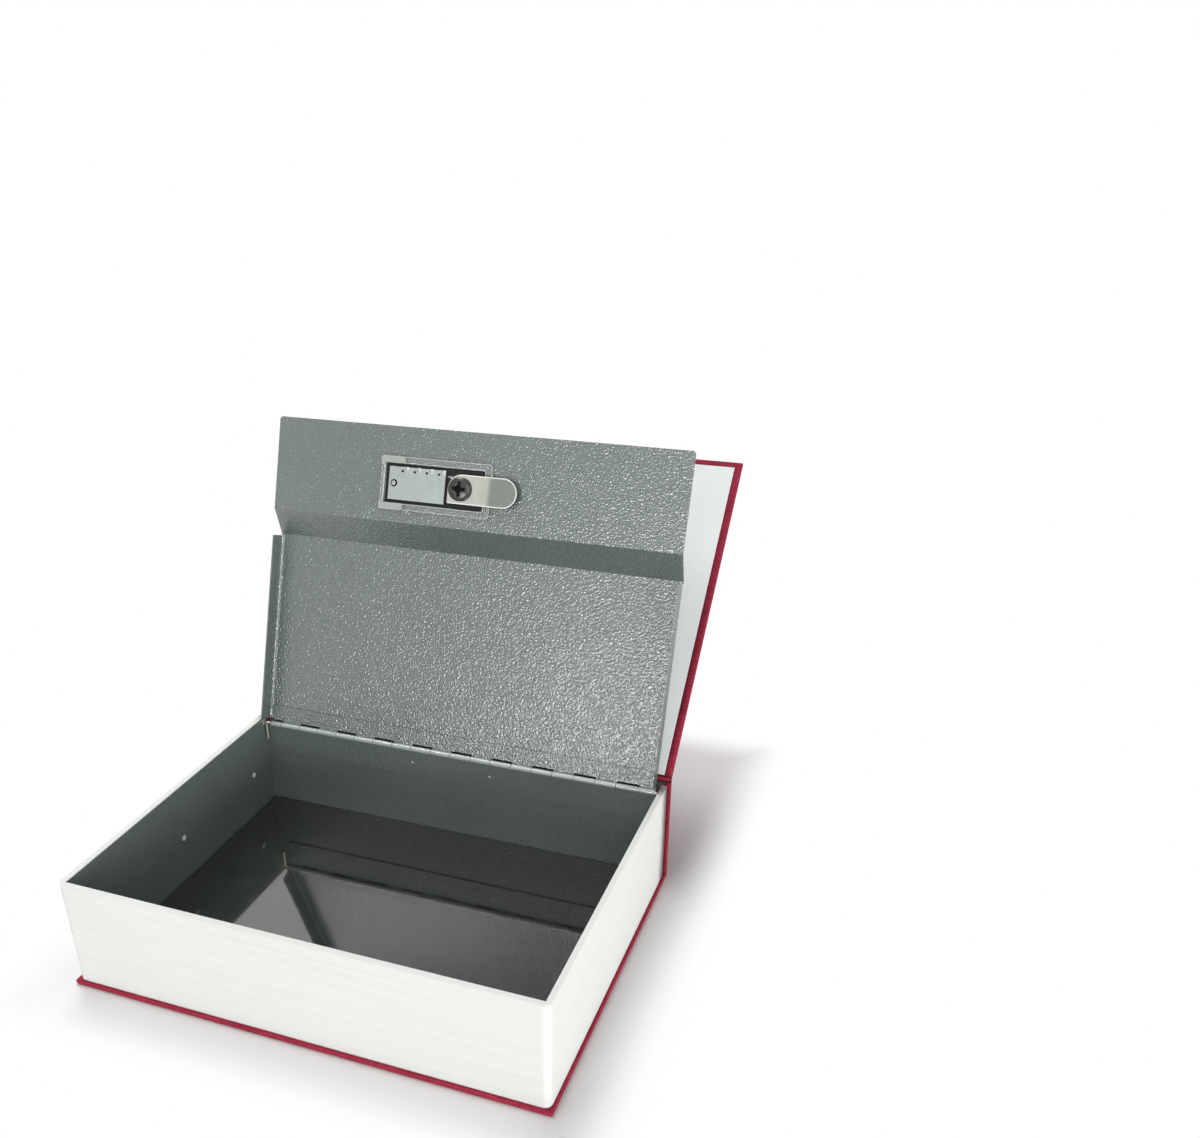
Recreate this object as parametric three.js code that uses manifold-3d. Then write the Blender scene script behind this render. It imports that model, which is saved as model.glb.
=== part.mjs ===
// Book diversion safe: a lidded steel box bound inside a cloth covered book case.
// Millimetres. X runs along the spine (+X is the head of the book), +Y points at the spine,
// +Z is up. The origin is the middle of the back cover's underside, which the book lies on.
// It stands open, as it is used: the steel lid leans back on its hinge, and the front cover
// lies further back behind it.
import * as THREE from 'three';
import { mergeVertices } from 'three/addons/utils/BufferGeometryUtils.js';
import Module from 'manifold-3d';

const wasm = await Module();
wasm.setup();

// Overall book, and the page block between its covers
const bookLength = 265;
const bookDepth = 200;
const blockHeight = 60.6;
const boardOverhang = 1.5;
const pageRimEnds = 3;
const pageRimFore = 3.3;
const coverRestGap = 0.6;

// Layers of the case: cloth, greyboard, and the paper or turned-in cloth inside
const clothThickness = 0.3;
const boardThickness = 1.9;
const layerGap = 0.1;
const turnInEnds = 4.2;
const turnInFore = 3.6;
const spineClearance = 3.4;
const spineCornerRadius = 0.6;
const spineBoardDrop = 0.3;

// Round cloth joint between the spine and the front cover
const jointRadius = 0.9;
const jointClearance = 0.3;

// Sheet steel of the box and the lid
const steel = 0.8;
const bendRadius = 2;
const backWallDrop = 1.8;
const floorPlateThickness = 1;
const floorPlateGap = 0.4;

// White page shell round three sides of the box
const rimLip = 0.6;
const pageCornerRadius = 4;
const pageLegOvershoot = 1.4;

// Snap rivets that hold the page shell on the box
const rivetHeadRadius = 1.8;
const rivetHeadHeight = 0.8;
const rivetDomeShares = [[0.6, 1], [0.9, 0.6]];
const rivetShankRadius = 1.1;
const rivetHoleRadius = 1.3;
const rivetDepth = 1.3;
const rivetPitchSide = 75;
const rivetSideSetback = 1;
const rivetPitchFront = 88;
const rivetLevel = 28.3;

// Piano hinge
const barrelRadius = 1.6;
const knuckleBore = 0.92;
const pinRadius = 0.8;
const leafThickness = 0.6;
const lidLeafWidth = 11.5;
const boxLeafWidth = 20;
const hingeDrop = 3.7;
const hingeStartInset = 5.8;
const hingeEndInset = 2.6;
const knucklePitch = 25.6;
const firstKnuckleInset = 6.6;
const knuckleGap = 0.4;
const leafSlotReach = 2.6;
const pinEndInset = 1.5;
const pinTailLength = 11.5;

// Lid: panel with side flanges, then a joggle down to the lock band
const lidOpenAngle = 109.5;
const lidSideGap = 2.7;
const lidFrontGap = 0.7;
const lidRearSetback = 2.6;
const bandDrop = 10.5;
const bandDepth = 53.7;
const joggleRun = 14.8;
const flangeRearSetback = 3.4;
const flangeRelief = 1.2;
const lidCornerRadius = 2;

// Angle brackets that the closed lid rests on
const restWidth = 16;
const restReach = 7;
const restHeight = 9;
const restInset = 26;
const restGap = 0.3;

// Front cover, opened past the lid
const coverOpenAngle = 135.5;

// Lock: where it sits on the band, and how far its outlines reach past first dial and knob
const lockFromEdge = 31.9;
const lockFit = 0.3;
const lockCutBeforeDials = 10.8;
const lockCutAfterPivot = 13.6;
const lockCutWidth = 22;
const lockCutRadius = 1.5;
const bezelBeforeDials = 14.7;
const bezelAfterPivot = 19.1;
const bezelWidth = 33;
const bezelHeight = 2;
const bezelRadius = 3;
const dialBlockHeight = 6.2;
const dialBlockWidth = 19;
const dialBlockEndWall = 3;
const dialBlockKnobWall = 2.1;
const dialBlockRadius = 2.5;
const bossRadius = 9.4;
const bossHeight = 1.6;
const knobRoof = 1.5;
const housingReach = 0.6;

// Clear frame that clips round the lock inside the lid
const frameBeforeDials = 13.4;
const frameAfterPivot = 17.8;
const frameWidth = 30.2;
const frameThickness = 1.3;
const frameRadius = 1.6;
const frameSideWall = 3.8;
const frameRightWall = 4.2;
const frameLeftWall = 1.8;
const clipLength = 15;
const clipWidth = 5.4;
const clipHeight = 0.9;

// Zinc plate over the back of the dials
const plateBeforeDials = 8.25;
const plateAfterDials = 4.25;
const plateWidth = 18.7;
const plateThickness = 0.8;
const tabHoleWidth = 1.5;
const tabHoleDepth = 1.2;
const tabHoleInset = 1.8;

// Dials and what turns with them
const dialCount = 4;
const dialPitch = 7.6;
const lastDialX = -19.2;
const dialRadius = 5.5;
const dialWidth = 4.6;
const dialAxisRise = 4.9;
const dialFigures = 10;
const dialGrooveDepth = 0.5;
const dialGrooveShare = 0.22;
const dialSlotGap = 0.35;
const camFit = 0.3;
const camSleeveRadius = 2;
const camBore = 1.3;
const camDiscRadius = 2.9;
const camDiscWidth = 0.9;
const camGateWidth = 1.6;
const camGateDepth = 0.8;
const axleRadius = 1;
const axleSeat = 1.2;
const chamberRoof = 0.9;
const chamberSpringSide = 8.2;

// Slide bar whose lugs pass through the cams' gates when the four dials are set
const barThickness = 1;
const barOffset = 6.3;
const barTailHeight = 1.6;
const barLugWidth = 0.55;
const barLugHeight = 1;
const barLugGap = 0.325;
const barTravel = 2.1;
const barFootHalf = 3;

// Leaf spring that clicks on the dials
const springThickness = 0.3;
const springOffset = 7.6;
const springFingerWidth = 3.6;
const springBaseHeight = 2;
const springTipShare = 0.45;

// Reset pin in the zinc plate
const resetPinBeforeDials = 4.9;
const resetPinRadius = 1.4;
const resetHoleRadius = 2.1;
const resetPinProud = 0.5;
const resetPinLength = 2.3;
const resetPinTravel = 1.2;
const resetSlotWidth = 0.5;
const resetSlotDepth = 0.4;

// Knob, its eccentric, the cam latch, and the washer and screw that hold them
const pivotX = -4.8;
const knobRadius = 8;
const knobDiscHeight = 1.8;
const knobGripHeight = 4.4;
const knobGripWidth = 4.6;
const knobGripTopShare = 0.7;
const shaftRadius = 3;
const shaftSquare = 4.4;
const eccentricRadius = 4.6;
const eccentricThrow = 1.8;
const eccentricHeight = 1.6;
const eccentricRoom = 0.4;
const hubRadius = 3.9;
const footGap = 0.6;
const latchThickness = 1.2;
const latchWidth = 16.4;
const latchHeel = 7.6;
const latchReach = 34.6;
const latchStepStart = 12.2;
const latchStepRun = 7.2;
const latchStepRise = 1.9;
const latchBaseLift = 2.6;
const latchHeelRadius = 1;
const washerRadius = 5.6;
const washerThickness = 0.5;
const screwHeadRadius = 6.6;
const screwHeadHeight = 2.2;
const screwShankRadius = 1.5;
const screwShankLength = 6.4;
const crossLength = 8.6;
const crossWidth = 1.8;
const crossDepth = 1;

// Slot in the box's front wall that the latch turns into
const strikeSlotHalf = 12.2;
const strikeSlotRoom = 0.9;
const strikePocketDepth = 1.8;

// Foil rules stamped on the front cover, and the small ornament inside them
const foilThickness = 0.1;
const foilLength = 54;
const foilDepth = 84;
const foilFromHead = 44;
const foilFromSpine = 58;
const foilRule = 1.1;
const foilInnerRule = 0.6;
const foilInnerInset = 2.6;
const ornamentLength = 46;
const ornamentWidth = 14;
const ornamentOutlineShares = [[0, 1], [0.3, 0.36], [1, 0.2], [0.42, 0], [1, -0.2], [0.3, -0.36]];

// One overrun for every cut, and the number of sides of round pieces
const overrun = 2;
const roundSides = 24;
const knuckleSides = 16;
const smallSides = 12;
const arcSteps = 5;

// Planes and axes that follow from the sizes above
const halfLength = bookLength / 2;
const halfDepth = bookDepth / 2;
const caseThickness = clothThickness * 2 + boardThickness + layerGap * 2;
const boxBottom = caseThickness + layerGap;
const rimZ = boxBottom + blockHeight;
const boxHalf = halfLength - boardOverhang - pageRimEnds;
const frontWallY = -halfDepth + boardOverhang + pageRimFore;
const spineBoardInner = halfDepth - clothThickness - layerGap - boardThickness;
const backWallY = spineBoardInner - spineClearance - steel;
const boxMidY = (frontWallY + backWallY) / 2;
const coverOuterZ = rimZ + coverRestGap + caseThickness;
const jointY = halfDepth - jointRadius;
const jointZ = coverOuterZ - jointRadius;
const jointSetback = jointRadius + jointClearance;
const coverDepth = bookDepth - jointRadius;
const hingeY = backWallY - layerGap - barrelRadius;
const hingeZ = rimZ - hingeDrop;
const hingeStart = -boxHalf + hingeStartInset;
const hingeEnd = boxHalf - hingeEndInset;

// Boards and linings shared by both covers
const boardHalf = halfLength - clothThickness - layerGap;
const boardFore = halfDepth - clothThickness - layerGap;
const paperHalf = halfLength - turnInEnds - layerGap;
const spineTop = jointZ - Math.hypot(jointRadius, jointSetback);
const spineShoulder = rimZ + coverRestGap - layerGap;

// Lid planes, measured from the hinge axis with the lid closed; Z falls towards its inner face
const panelInner = barrelRadius + layerGap;
const panelOuter = panelInner + steel;
const bandInner = panelInner - bandDrop;
const bandOuter = bandInner + steel;
const lidHalf = boxHalf - lidSideGap;
const lidReach = hingeY - frontWallY - lidFrontGap;
const joggleEnd = lidReach - bandDepth;
const joggleStart = joggleEnd - joggleRun;

// Lock planes, in the lid's directions, and the places of the dials along the axle
const lockY = lockFromEdge - lidReach;
const bezelTop = bandOuter + bezelHeight;
const blockTop = bezelTop + dialBlockHeight;
const bossTop = bezelTop + bossHeight;
const housingBack = bandInner - housingReach;
const plateTop = housingBack - lockFit;
const plateBack = plateTop - plateThickness;
const dialZ = bandInner + dialAxisRise;
const dialX = (index) => lastDialX - (dialCount - index - 1) * dialPitch;
const discX = (index) => dialX(index) - dialPitch / 2;
const resetPinX = dialX(0) - resetPinBeforeDials;
const lockSpan = (beforeDials, afterPivot) => [dialX(0) - beforeDials, pivotX + afterPivot];
const lugOffset = (camDiscWidth + barLugWidth) / 2 + barLugGap;
const barStart = discX(0) - lugOffset - barLugWidth / 2;
const chamberStart = barStart - camFit;
const chamberEnd = lastDialX + dialWidth / 2 + camFit;
const chamberBarSide = barOffset + barThickness / 2 + camFit;
const footX = pivotX - eccentricRadius - eccentricThrow - footGap;
const eccentricTop = bossTop - knobRoof - eccentricRoom;
const barBottom = eccentricTop - barTailHeight;
const latchZ = bandInner - latchBaseLift;
const latchUnder = latchZ - latchThickness / 2;
const screwSeat = latchUnder - washerThickness - lockFit * 2;

const materials = {
  coat: { color: 0x6f7b76, roughness: 0.5, metalness: 0.25 },
  cloth: { color: 0x9a1f3c, roughness: 0.9, metalness: 0 },
  board: { color: 0x8d8578, roughness: 0.95, metalness: 0 },
  paper: { color: 0xe9ebec, roughness: 0.8, metalness: 0 },
  pages: { color: 0xf3f3ee, roughness: 0.7, metalness: 0 },
  gloss: { color: 0x08090a, roughness: 0.08, metalness: 0 },
  zinc: { color: 0xb6babb, roughness: 0.3, metalness: 0.9 },
  black: { color: 0x121314, roughness: 0.45, metalness: 0 },
  clear: { color: 0xd5dad7, roughness: 0.2, metalness: 0 },
  dark: { color: 0x2b2c2d, roughness: 0.35, metalness: 0.8 },
  nylon: { color: 0xeeeeea, roughness: 0.5, metalness: 0 },
  foil: { color: 0xd9c3c4, roughness: 0.35, metalness: 0.6 },
};

// Turn a three.js geometry into a closed solid that can be cut and joined
function solid(geometry) {
  const bare = geometry.clone();
  bare.deleteAttribute('normal');
  bare.deleteAttribute('uv');
  const welded = mergeVertices(bare);
  const vertProperties = new Float32Array(welded.attributes.position.array);
  const triVerts = new Uint32Array(welded.index.array);
  return new wasm.Manifold(new wasm.Mesh({ numProp: 3, vertProperties, triVerts }));
}

// Turn a finished solid back into a three.js geometry
function shell(body) {
  const mesh = body.getMesh();
  const geometry = new THREE.BufferGeometry();
  geometry.setAttribute('position', new THREE.BufferAttribute(mesh.vertProperties, 3));
  geometry.setIndex(new THREE.BufferAttribute(mesh.triVerts, 1));
  geometry.computeVertexNormals();
  return geometry;
}

function join(...bodies) {
  return bodies.reduce((whole, next) => whole.add(next));
}

function cut(body, ...tools) {
  return tools.reduce((rest, tool) => rest.subtract(tool), body);
}

// Rectangular block between two ends along each direction
function block(x, y, z) {
  const size = [x, y, z].map(([low, high]) => high - low);
  const centre = [x, y, z].map(([low, high]) => (low + high) / 2);
  return solid(new THREE.BoxGeometry(...size).translate(...centre));
}

function around(middle, width) {
  return [middle - width / 2, middle + width / 2];
}

function extruded(shape, [low, high]) {
  const options = { depth: high - low, bevelEnabled: false, curveSegments: arcSteps };
  return new THREE.ExtrudeGeometry(shape, options).translate(0, 0, low);
}

// Outline in X and Y, extruded along Z
function upright(shape, span) {
  return solid(extruded(shape, span));
}

// Outline in Y and Z, extruded along X
function alongX(shape, span) {
  const turn = new THREE.Matrix4().set(0, 0, 1, 0, 1, 0, 0, 0, 0, 1, 0, 0, 0, 0, 0, 1);
  return solid(extruded(shape, span).applyMatrix4(turn));
}

// Outline in X and Z, extruded along Y
function alongY(shape, [low, high]) {
  return solid(extruded(shape, [-high, -low]).rotateX(Math.PI / 2));
}

// Rectangle with four round corners
function roundedRectangle([left, right], [low, high], radius) {
  const shape = new THREE.Shape();
  shape.moveTo(left + radius, low);
  shape.lineTo(right - radius, low);
  shape.absarc(right - radius, low + radius, radius, -Math.PI / 2, 0);
  shape.lineTo(right, high - radius);
  shape.absarc(right - radius, high - radius, radius, 0, Math.PI / 2);
  shape.lineTo(left + radius, high);
  shape.absarc(left + radius, high - radius, radius, Math.PI / 2, Math.PI);
  shape.lineTo(left, low + radius);
  shape.absarc(left + radius, low + radius, radius, Math.PI, Math.PI * 3 / 2);
  return shape;
}

// Outline of a bent sheet: a centre line with round bends, given half its thickness each side
function bentSheet(corners, bend, thickness) {
  const line = corners.map(([x, y]) => new THREE.Vector2(x, y));
  const headings = line.slice(1).map((point, index) => point.clone().sub(line[index]).normalize());
  const left = [];
  const right = [];
  const mark = (point, heading) => {
    const normal = new THREE.Vector2(-heading.y, heading.x).multiplyScalar(thickness / 2);
    left.push(point.clone().add(normal));
    right.unshift(point.clone().sub(normal));
  };
  mark(line[0], headings[0]);
  for (let index = 1; index < headings.length; index += 1) {
    const into = headings[index - 1];
    const turn = Math.atan2(into.cross(headings[index]), into.dot(headings[index]));
    const side = Math.sign(turn) * bend;
    const setback = bend * Math.tan(Math.abs(turn) / 2);
    const centre = line[index].clone().addScaledVector(into, -setback);
    centre.add(new THREE.Vector2(-into.y, into.x).multiplyScalar(side));
    for (let step = 0; step <= arcSteps; step += 1) {
      const heading = into.clone().rotateAround(new THREE.Vector2(), (turn * step) / arcSteps);
      const radial = new THREE.Vector2(heading.y, -heading.x).multiplyScalar(side);
      mark(centre.clone().add(radial), heading);
    }
  }
  mark(line[line.length - 1], headings[headings.length - 1]);
  return new THREE.Shape([...left, ...right]);
}

// Round bar along X
function rodX(radius, [low, high], y, z, sides) {
  const geometry = new THREE.CylinderGeometry(radius, radius, high - low, sides);
  return solid(geometry.rotateZ(-Math.PI / 2).translate((low + high) / 2, y, z));
}

// Round bar along Z
function rodZ(radius, [low, high], x, y, sides) {
  const geometry = new THREE.CylinderGeometry(radius, radius, high - low, sides);
  return solid(geometry.rotateX(Math.PI / 2).translate(x, y, (low + high) / 2));
}

function place(group, name, body, look) {
  const material = new THREE.MeshStandardMaterial(materials[look]);
  const mesh = new THREE.Mesh(shell(body), material);
  mesh.name = name;
  group.add(mesh);
}

const safe = new THREE.Group();

// Room for the latch's tongue, from inside the front wall out to a given depth
function strikeSlot(depth) {
  const height = latchThickness + strikeSlotRoom * 2;
  const y = [frontWallY - depth, frontWallY + overrun];
  return block(around(pivotX, strikeSlotHalf * 2), y, around(hingeZ + latchZ - latchStepRise, height));
}

// Each rivet: its wall, its place on the inner face, and the turn that points it outward
function rivetSeats() {
  const level = boxBottom + rivetLevel;
  const sideways = new THREE.Matrix4().makeRotationY(Math.PI / 2);
  const forward = new THREE.Matrix4().makeRotationX(Math.PI / 2);
  const seats = [];
  for (const step of [-1, 0, 1]) {
    const y = boxMidY - rivetSideSetback - step * rivetPitchSide;
    seats.push({ wall: 'left', at: [-boxHalf, y, level], turn: sideways.clone().invert() });
    seats.push({ wall: 'right', at: [boxHalf, y, level], turn: sideways });
    seats.push({ wall: 'front', at: [step * rivetPitchFront, frontWallY, level], turn: forward });
  }
  return seats;
}

// Holes for the rivets: through the steel wall and part way into the page shell
function rivetHoles() {
  const reach = steel + rivetDepth + layerGap * 2;
  const height = reach + overrun;
  return rivetSeats().map((seat) => {
    const hole = new THREE.CylinderGeometry(rivetHoleRadius, rivetHoleRadius, height, smallSides);
    hole.rotateX(Math.PI / 2).translate(0, 0, reach - height / 2);
    return solid(hole.applyMatrix4(seat.turn).translate(...seat.at));
  });
}

// Snap rivet: domed head inside the box, shank through the wall into the page shell
function rivet(seat) {
  const dome = rivetDomeShares.map(([out, up]) => {
    return new THREE.Vector2(rivetHeadRadius * out, -layerGap - rivetHeadHeight * up);
  });
  const profile = [
    new THREE.Vector2(0, -layerGap - rivetHeadHeight),
    ...dome,
    new THREE.Vector2(rivetHeadRadius, -layerGap),
    new THREE.Vector2(rivetShankRadius, -layerGap),
    new THREE.Vector2(rivetShankRadius, steel + layerGap + rivetDepth),
    new THREE.Vector2(0, steel + layerGap + rivetDepth),
  ];
  const turned = new THREE.LatheGeometry(profile, smallSides).rotateX(Math.PI / 2);
  return solid(turned.applyMatrix4(seat.turn).translate(...seat.at));
}

// Open steel tray, with the latch's slot and the rivets' holes
function boxTray() {
  const wallTop = rimZ - rimLip - layerGap;
  const above = wallTop + overrun;
  const innerX = [-boxHalf, boxHalf];
  const outerX = [-boxHalf - steel, boxHalf + steel];
  const outer = block(outerX, [frontWallY - steel, backWallY + steel], [boxBottom, wallTop]);
  const hollow = block(innerX, [frontWallY, backWallY], [boxBottom + steel, above]);
  const backY = [backWallY - overrun, backWallY + steel + overrun];
  const backCut = block(innerX, backY, [hingeZ - backWallDrop, above]);
  return cut(outer, hollow, backCut, ...rivetHoles(), strikeSlot(steel + overrun));
}

// White shell: three sides of page edges, with a lip over the steel rim
function pageBlockShell() {
  const outX = boxHalf + pageRimEnds;
  const outY = frontWallY - pageRimFore;
  const backEnd = backWallY + pageLegOvershoot;
  const corner = pageCornerRadius;
  const shape = new THREE.Shape();
  shape.moveTo(outX, backEnd);
  shape.lineTo(-outX, backEnd);
  shape.lineTo(-outX, outY + corner);
  shape.absarc(-outX + corner, outY + corner, corner, Math.PI, Math.PI * 3 / 2);
  shape.lineTo(outX - corner, outY);
  shape.absarc(outX - corner, outY + corner, corner, -Math.PI / 2, 0);
  const trayX = boxHalf + steel + layerGap;
  const trayY = [frontWallY - steel - layerGap, backEnd + overrun];
  const tray = block([-trayX, trayX], trayY, [boxBottom - overrun, rimZ - rimLip]);
  const mouthZ = [boxBottom - overrun, rimZ + overrun];
  const mouth = block([-boxHalf, boxHalf], [frontWallY, backEnd + overrun], mouthZ);
  const pocket = strikeSlot(steel + layerGap + strikePocketDepth);
  return cut(upright(shape, [boxBottom, rimZ]), tray, mouth, pocket, ...rivetHoles());
}

function floorPlate() {
  const low = boxBottom + steel + layerGap;
  const x = boxHalf - floorPlateGap;
  const y = [frontWallY + floorPlateGap, backWallY - floorPlateGap];
  return block([-x, x], y, [low, low + floorPlateThickness]);
}

// Angle bracket on the inside of the front wall, under the closed lid
function lidRest(side) {
  const wall = frontWallY + layerGap + steel / 2;
  const top = hingeZ + bandInner - restGap - steel / 2;
  const corners = [[wall, top - restHeight], [wall, top], [wall + restReach, top]];
  const shape = bentSheet(corners, bendRadius, steel);
  return alongX(shape, around(side * (boxHalf - restInset), restWidth));
}

place(safe, 'box_tray', boxTray(), 'coat');
place(safe, 'floor_plate', floorPlate(), 'gloss');
place(safe, 'page_block_shell', pageBlockShell(), 'pages');
place(safe, 'lid_rest_left', lidRest(-1), 'coat');
place(safe, 'lid_rest_right', lidRest(1), 'coat');
const rivetCount = { left: 0, right: 0, front: 0 };
for (const seat of rivetSeats()) {
  rivetCount[seat.wall] += 1;
  place(safe, `page_rivet_${seat.wall}_${rivetCount[seat.wall]}`, rivet(seat), 'nylon');
}

// Sections of the hinge strip, turn and turn about: the first belongs to the box
function knuckleSpans() {
  const spans = { box: [], lid: [] };
  const half = knucklePitch / 4;
  let middle = -boxHalf + firstKnuckleInset;
  let owner = 'box';
  while (middle - half < hingeEnd) {
    spans[owner].push([Math.max(hingeStart, middle - half), Math.min(hingeEnd, middle + half)]);
    middle += knucklePitch / 2;
    owner = owner === 'box' ? 'lid' : 'box';
  }
  return spans;
}

// One leaf about the hinge axis: the lid's lies under the panel, the box's hangs down the wall
function hingeLeaf(owner, width) {
  const spans = knuckleSpans();
  const slab = (x, reach, depth) => (owner === 'lid' ? block(x, reach, depth) : block(x, depth, reach));
  const plateDepth = [barrelRadius - leafThickness, barrelRadius];
  const flangeBend = lidHalf - steel / 2 - bendRadius - layerGap;
  const plateX = owner === 'lid' ? [hingeStart, Math.min(hingeEnd, flangeBend)] : [hingeStart, hingeEnd];
  const plate = slab(plateX, [-width, 0], plateDepth);
  const slots = spans[owner === 'lid' ? 'box' : 'lid'].map(([low, high]) => {
    const x = [low - knuckleGap / 2, high + knuckleGap / 2];
    return slab(x, [-leafSlotReach, overrun], [-barrelRadius, barrelRadius + overrun]);
  });
  const barrels = spans[owner].map(([low, high]) => {
    return rodX(barrelRadius, [low + knuckleGap / 2, high - knuckleGap / 2], 0, 0, knuckleSides);
  });
  const bore = rodX(knuckleBore, [hingeStart - overrun, hingeEnd + overrun], 0, 0, smallSides);
  return cut(join(cut(plate, ...slots), ...barrels), bore);
}

// Hinge wire through the knuckles, both ends bent down
function hingePin() {
  const end = boxHalf - pinEndInset;
  const ball = (x) => new THREE.SphereGeometry(pinRadius, smallSides, smallSides).translate(x, 0, 0);
  const tail = (x) => rodZ(pinRadius, [-pinTailLength, 0], x, 0, smallSides);
  const wire = rodX(pinRadius, [-end, end], 0, 0, smallSides);
  return join(wire, solid(ball(-end)), solid(ball(end)), tail(-end), tail(end));
}

const hinge = new THREE.Group();
hinge.position.set(0, hingeY, hingeZ);
safe.add(hinge);
place(hinge, 'hinge_leaf_box', hingeLeaf('box', boxLeafWidth), 'coat');
place(hinge, 'hinge_pin', hingePin(), 'zinc');

const lid = new THREE.Group();
lid.rotation.x = -THREE.MathUtils.degToRad(lidOpenAngle);
hinge.add(lid);

// Folded sheet: panel and side flanges, then the joggle and the band with the lock's opening
function lidPanel() {
  const panelZ = panelInner + steel / 2;
  const bandZ = bandInner + steel / 2;
  const run = (rear) => {
    const corners = [[-rear, panelZ], [-joggleStart, panelZ], [-joggleEnd, bandZ], [-lidReach, bandZ]];
    return bentSheet(corners, bendRadius, steel);
  };
  const flangeEnd = joggleStart - flangeRelief;
  const middle = lidHalf - steel - bendRadius;
  const centre = alongX(run(lidRearSetback), [-middle, middle]);
  const rounding = roundedRectangle([-lidHalf, lidHalf], [-lidReach, lidReach], lidCornerRadius);
  const wide = alongX(run(flangeEnd), [-lidHalf, lidHalf]);
  const band = wide.intersect(upright(rounding, [bandInner - overrun, panelOuter + overrun]));
  const side = lidHalf - steel / 2;
  const trough = [[-side, bandInner], [-side, panelZ], [side, panelZ], [side, bandInner]];
  const pan = alongY(bentSheet(trough, bendRadius, steel), [-flangeEnd, -flangeRearSetback]);
  const openingX = lockSpan(lockCutBeforeDials, lockCutAfterPivot);
  const opening = roundedRectangle(openingX, around(lockY, lockCutWidth), lockCutRadius);
  return cut(join(centre, band, pan), upright(opening, [bandInner - overrun, bandOuter + overrun]));
}

place(lid, 'lid_panel', lidPanel(), 'coat');
place(lid, 'hinge_leaf_lid', hingeLeaf('lid', lidLeafWidth), 'coat');

// Black body of the lock: bezel, dial block with four windows, boss, and room for the works
function lockHousing() {
  const bezelX = lockSpan(bezelBeforeDials, bezelAfterPivot);
  const bezelShape = roundedRectangle(bezelX, around(lockY, bezelWidth), bezelRadius);
  const bezel = upright(bezelShape, [bandOuter + lockFit, bezelTop]);
  const bodyX = lockSpan(lockCutBeforeDials - lockFit, lockCutAfterPivot - lockFit);
  const bodyY = around(lockY, lockCutWidth - lockFit * 2);
  const body = upright(roundedRectangle(bodyX, bodyY, lockCutRadius), [housingBack, bezelTop]);
  const humpX = [chamberStart - dialBlockEndWall, chamberEnd + dialBlockKnobWall];
  const humpShape = roundedRectangle(humpX, around(lockY, dialBlockWidth), dialBlockRadius);
  const hump = upright(humpShape, [bandOuter + lockFit, blockTop]);
  const boss = rodZ(bossRadius, [bandOuter + lockFit, bossTop], pivotX, lockY, roundSides);
  return cut(join(bezel, body, hump, boss), ...dialRoom(), ...knobRoom());
}

// Chamber of the dials, their windows, the axle's seats and the reset pin's bore
function dialRoom() {
  const low = housingBack - overrun;
  const y = [lockY - chamberBarSide, lockY + chamberSpringSide];
  const chamber = block([chamberStart, chamberEnd], y, [low, blockTop - chamberRoof]);
  const seatX = [chamberStart - axleSeat, chamberEnd + axleSeat];
  const seats = rodX(axleRadius + camFit, seatX, lockY, dialZ, smallSides);
  const pinTop = plateBack - resetPinProud + resetPinLength + resetPinTravel + lockFit;
  const pin = rodZ(resetPinRadius + lockFit, [low, pinTop], resetPinX, lockY, smallSides);
  const windows = Array.from({ length: dialCount }, (_, index) => {
    const x = around(dialX(index), dialWidth + dialSlotGap * 2);
    return rodX(dialRadius + dialSlotGap, x, lockY, dialZ, roundSides);
  });
  return [chamber, seats, pin, ...windows];
}

// Bore of the knob's shaft, room for its eccentric, and the way of the slide bar's tail
function knobRoom() {
  const low = housingBack - overrun;
  const top = eccentricTop + eccentricRoom;
  const bore = rodZ(shaftRadius + lockFit, [low, bossTop + overrun], pivotX, lockY, roundSides);
  const sweep = eccentricRadius + eccentricThrow + lockFit;
  const round = rodZ(sweep, [low, top], pivotX, lockY, roundSides);
  const footStart = footX - barThickness - lockFit;
  const footY = [lockY - chamberBarSide, lockY + barFootHalf + lockFit];
  const foot = block([footStart, pivotX], footY, [low, top]);
  const wayY = around(lockY - barOffset, barThickness + camFit * 2);
  const way = block([chamberEnd - overrun, footStart + overrun], wayY, [low, top]);
  return [bore, round, foot, way];
}

// Clear plastic frame round the opening, with two raised clips at its left end
function retainingFrame() {
  const x = lockSpan(frameBeforeDials, frameAfterPivot);
  const y = around(lockY, frameWidth);
  const z = [bandInner - lockFit - frameThickness, bandInner - lockFit];
  const ring = upright(roundedRectangle(x, y, frameRadius), z);
  const clipX = [x[0], x[0] + clipLength];
  const clips = [[y[0], y[0] + clipWidth], [y[1] - clipWidth, y[1]]].map((clipY) => {
    return upright(roundedRectangle(clipX, clipY, frameRadius), [z[0] - clipHeight, z[1]]);
  });
  const openX = [x[0] + frameLeftWall, x[1] - frameRightWall];
  const openY = [y[0] + frameSideWall, y[1] - frameSideWall];
  const opening = roundedRectangle(openX, openY, lockCutRadius);
  return cut(join(ring, ...clips), upright(opening, [z[0] - clipHeight - overrun, z[1] + overrun]));
}

// Zinc plate, pierced beside each dial's tab, with the reset pin's hole
function lockBackPlate() {
  const y = around(lockY, plateWidth);
  const x = [dialX(0) - plateBeforeDials, lastDialX + plateAfterDials];
  const sheet = block(x, y, [plateBack, plateTop]);
  const through = [plateBack - overrun, plateTop + overrun];
  const holeY = [y[0] + tabHoleInset, y[0] + tabHoleInset + tabHoleDepth];
  const tabHoles = Array.from({ length: dialCount }, (_, index) => {
    return block(around(dialX(index), tabHoleWidth), holeY, through);
  });
  const pinHole = rodZ(resetHoleRadius, through, resetPinX, lockY, smallSides);
  return cut(sheet, ...tabHoles, pinHole);
}

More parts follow.
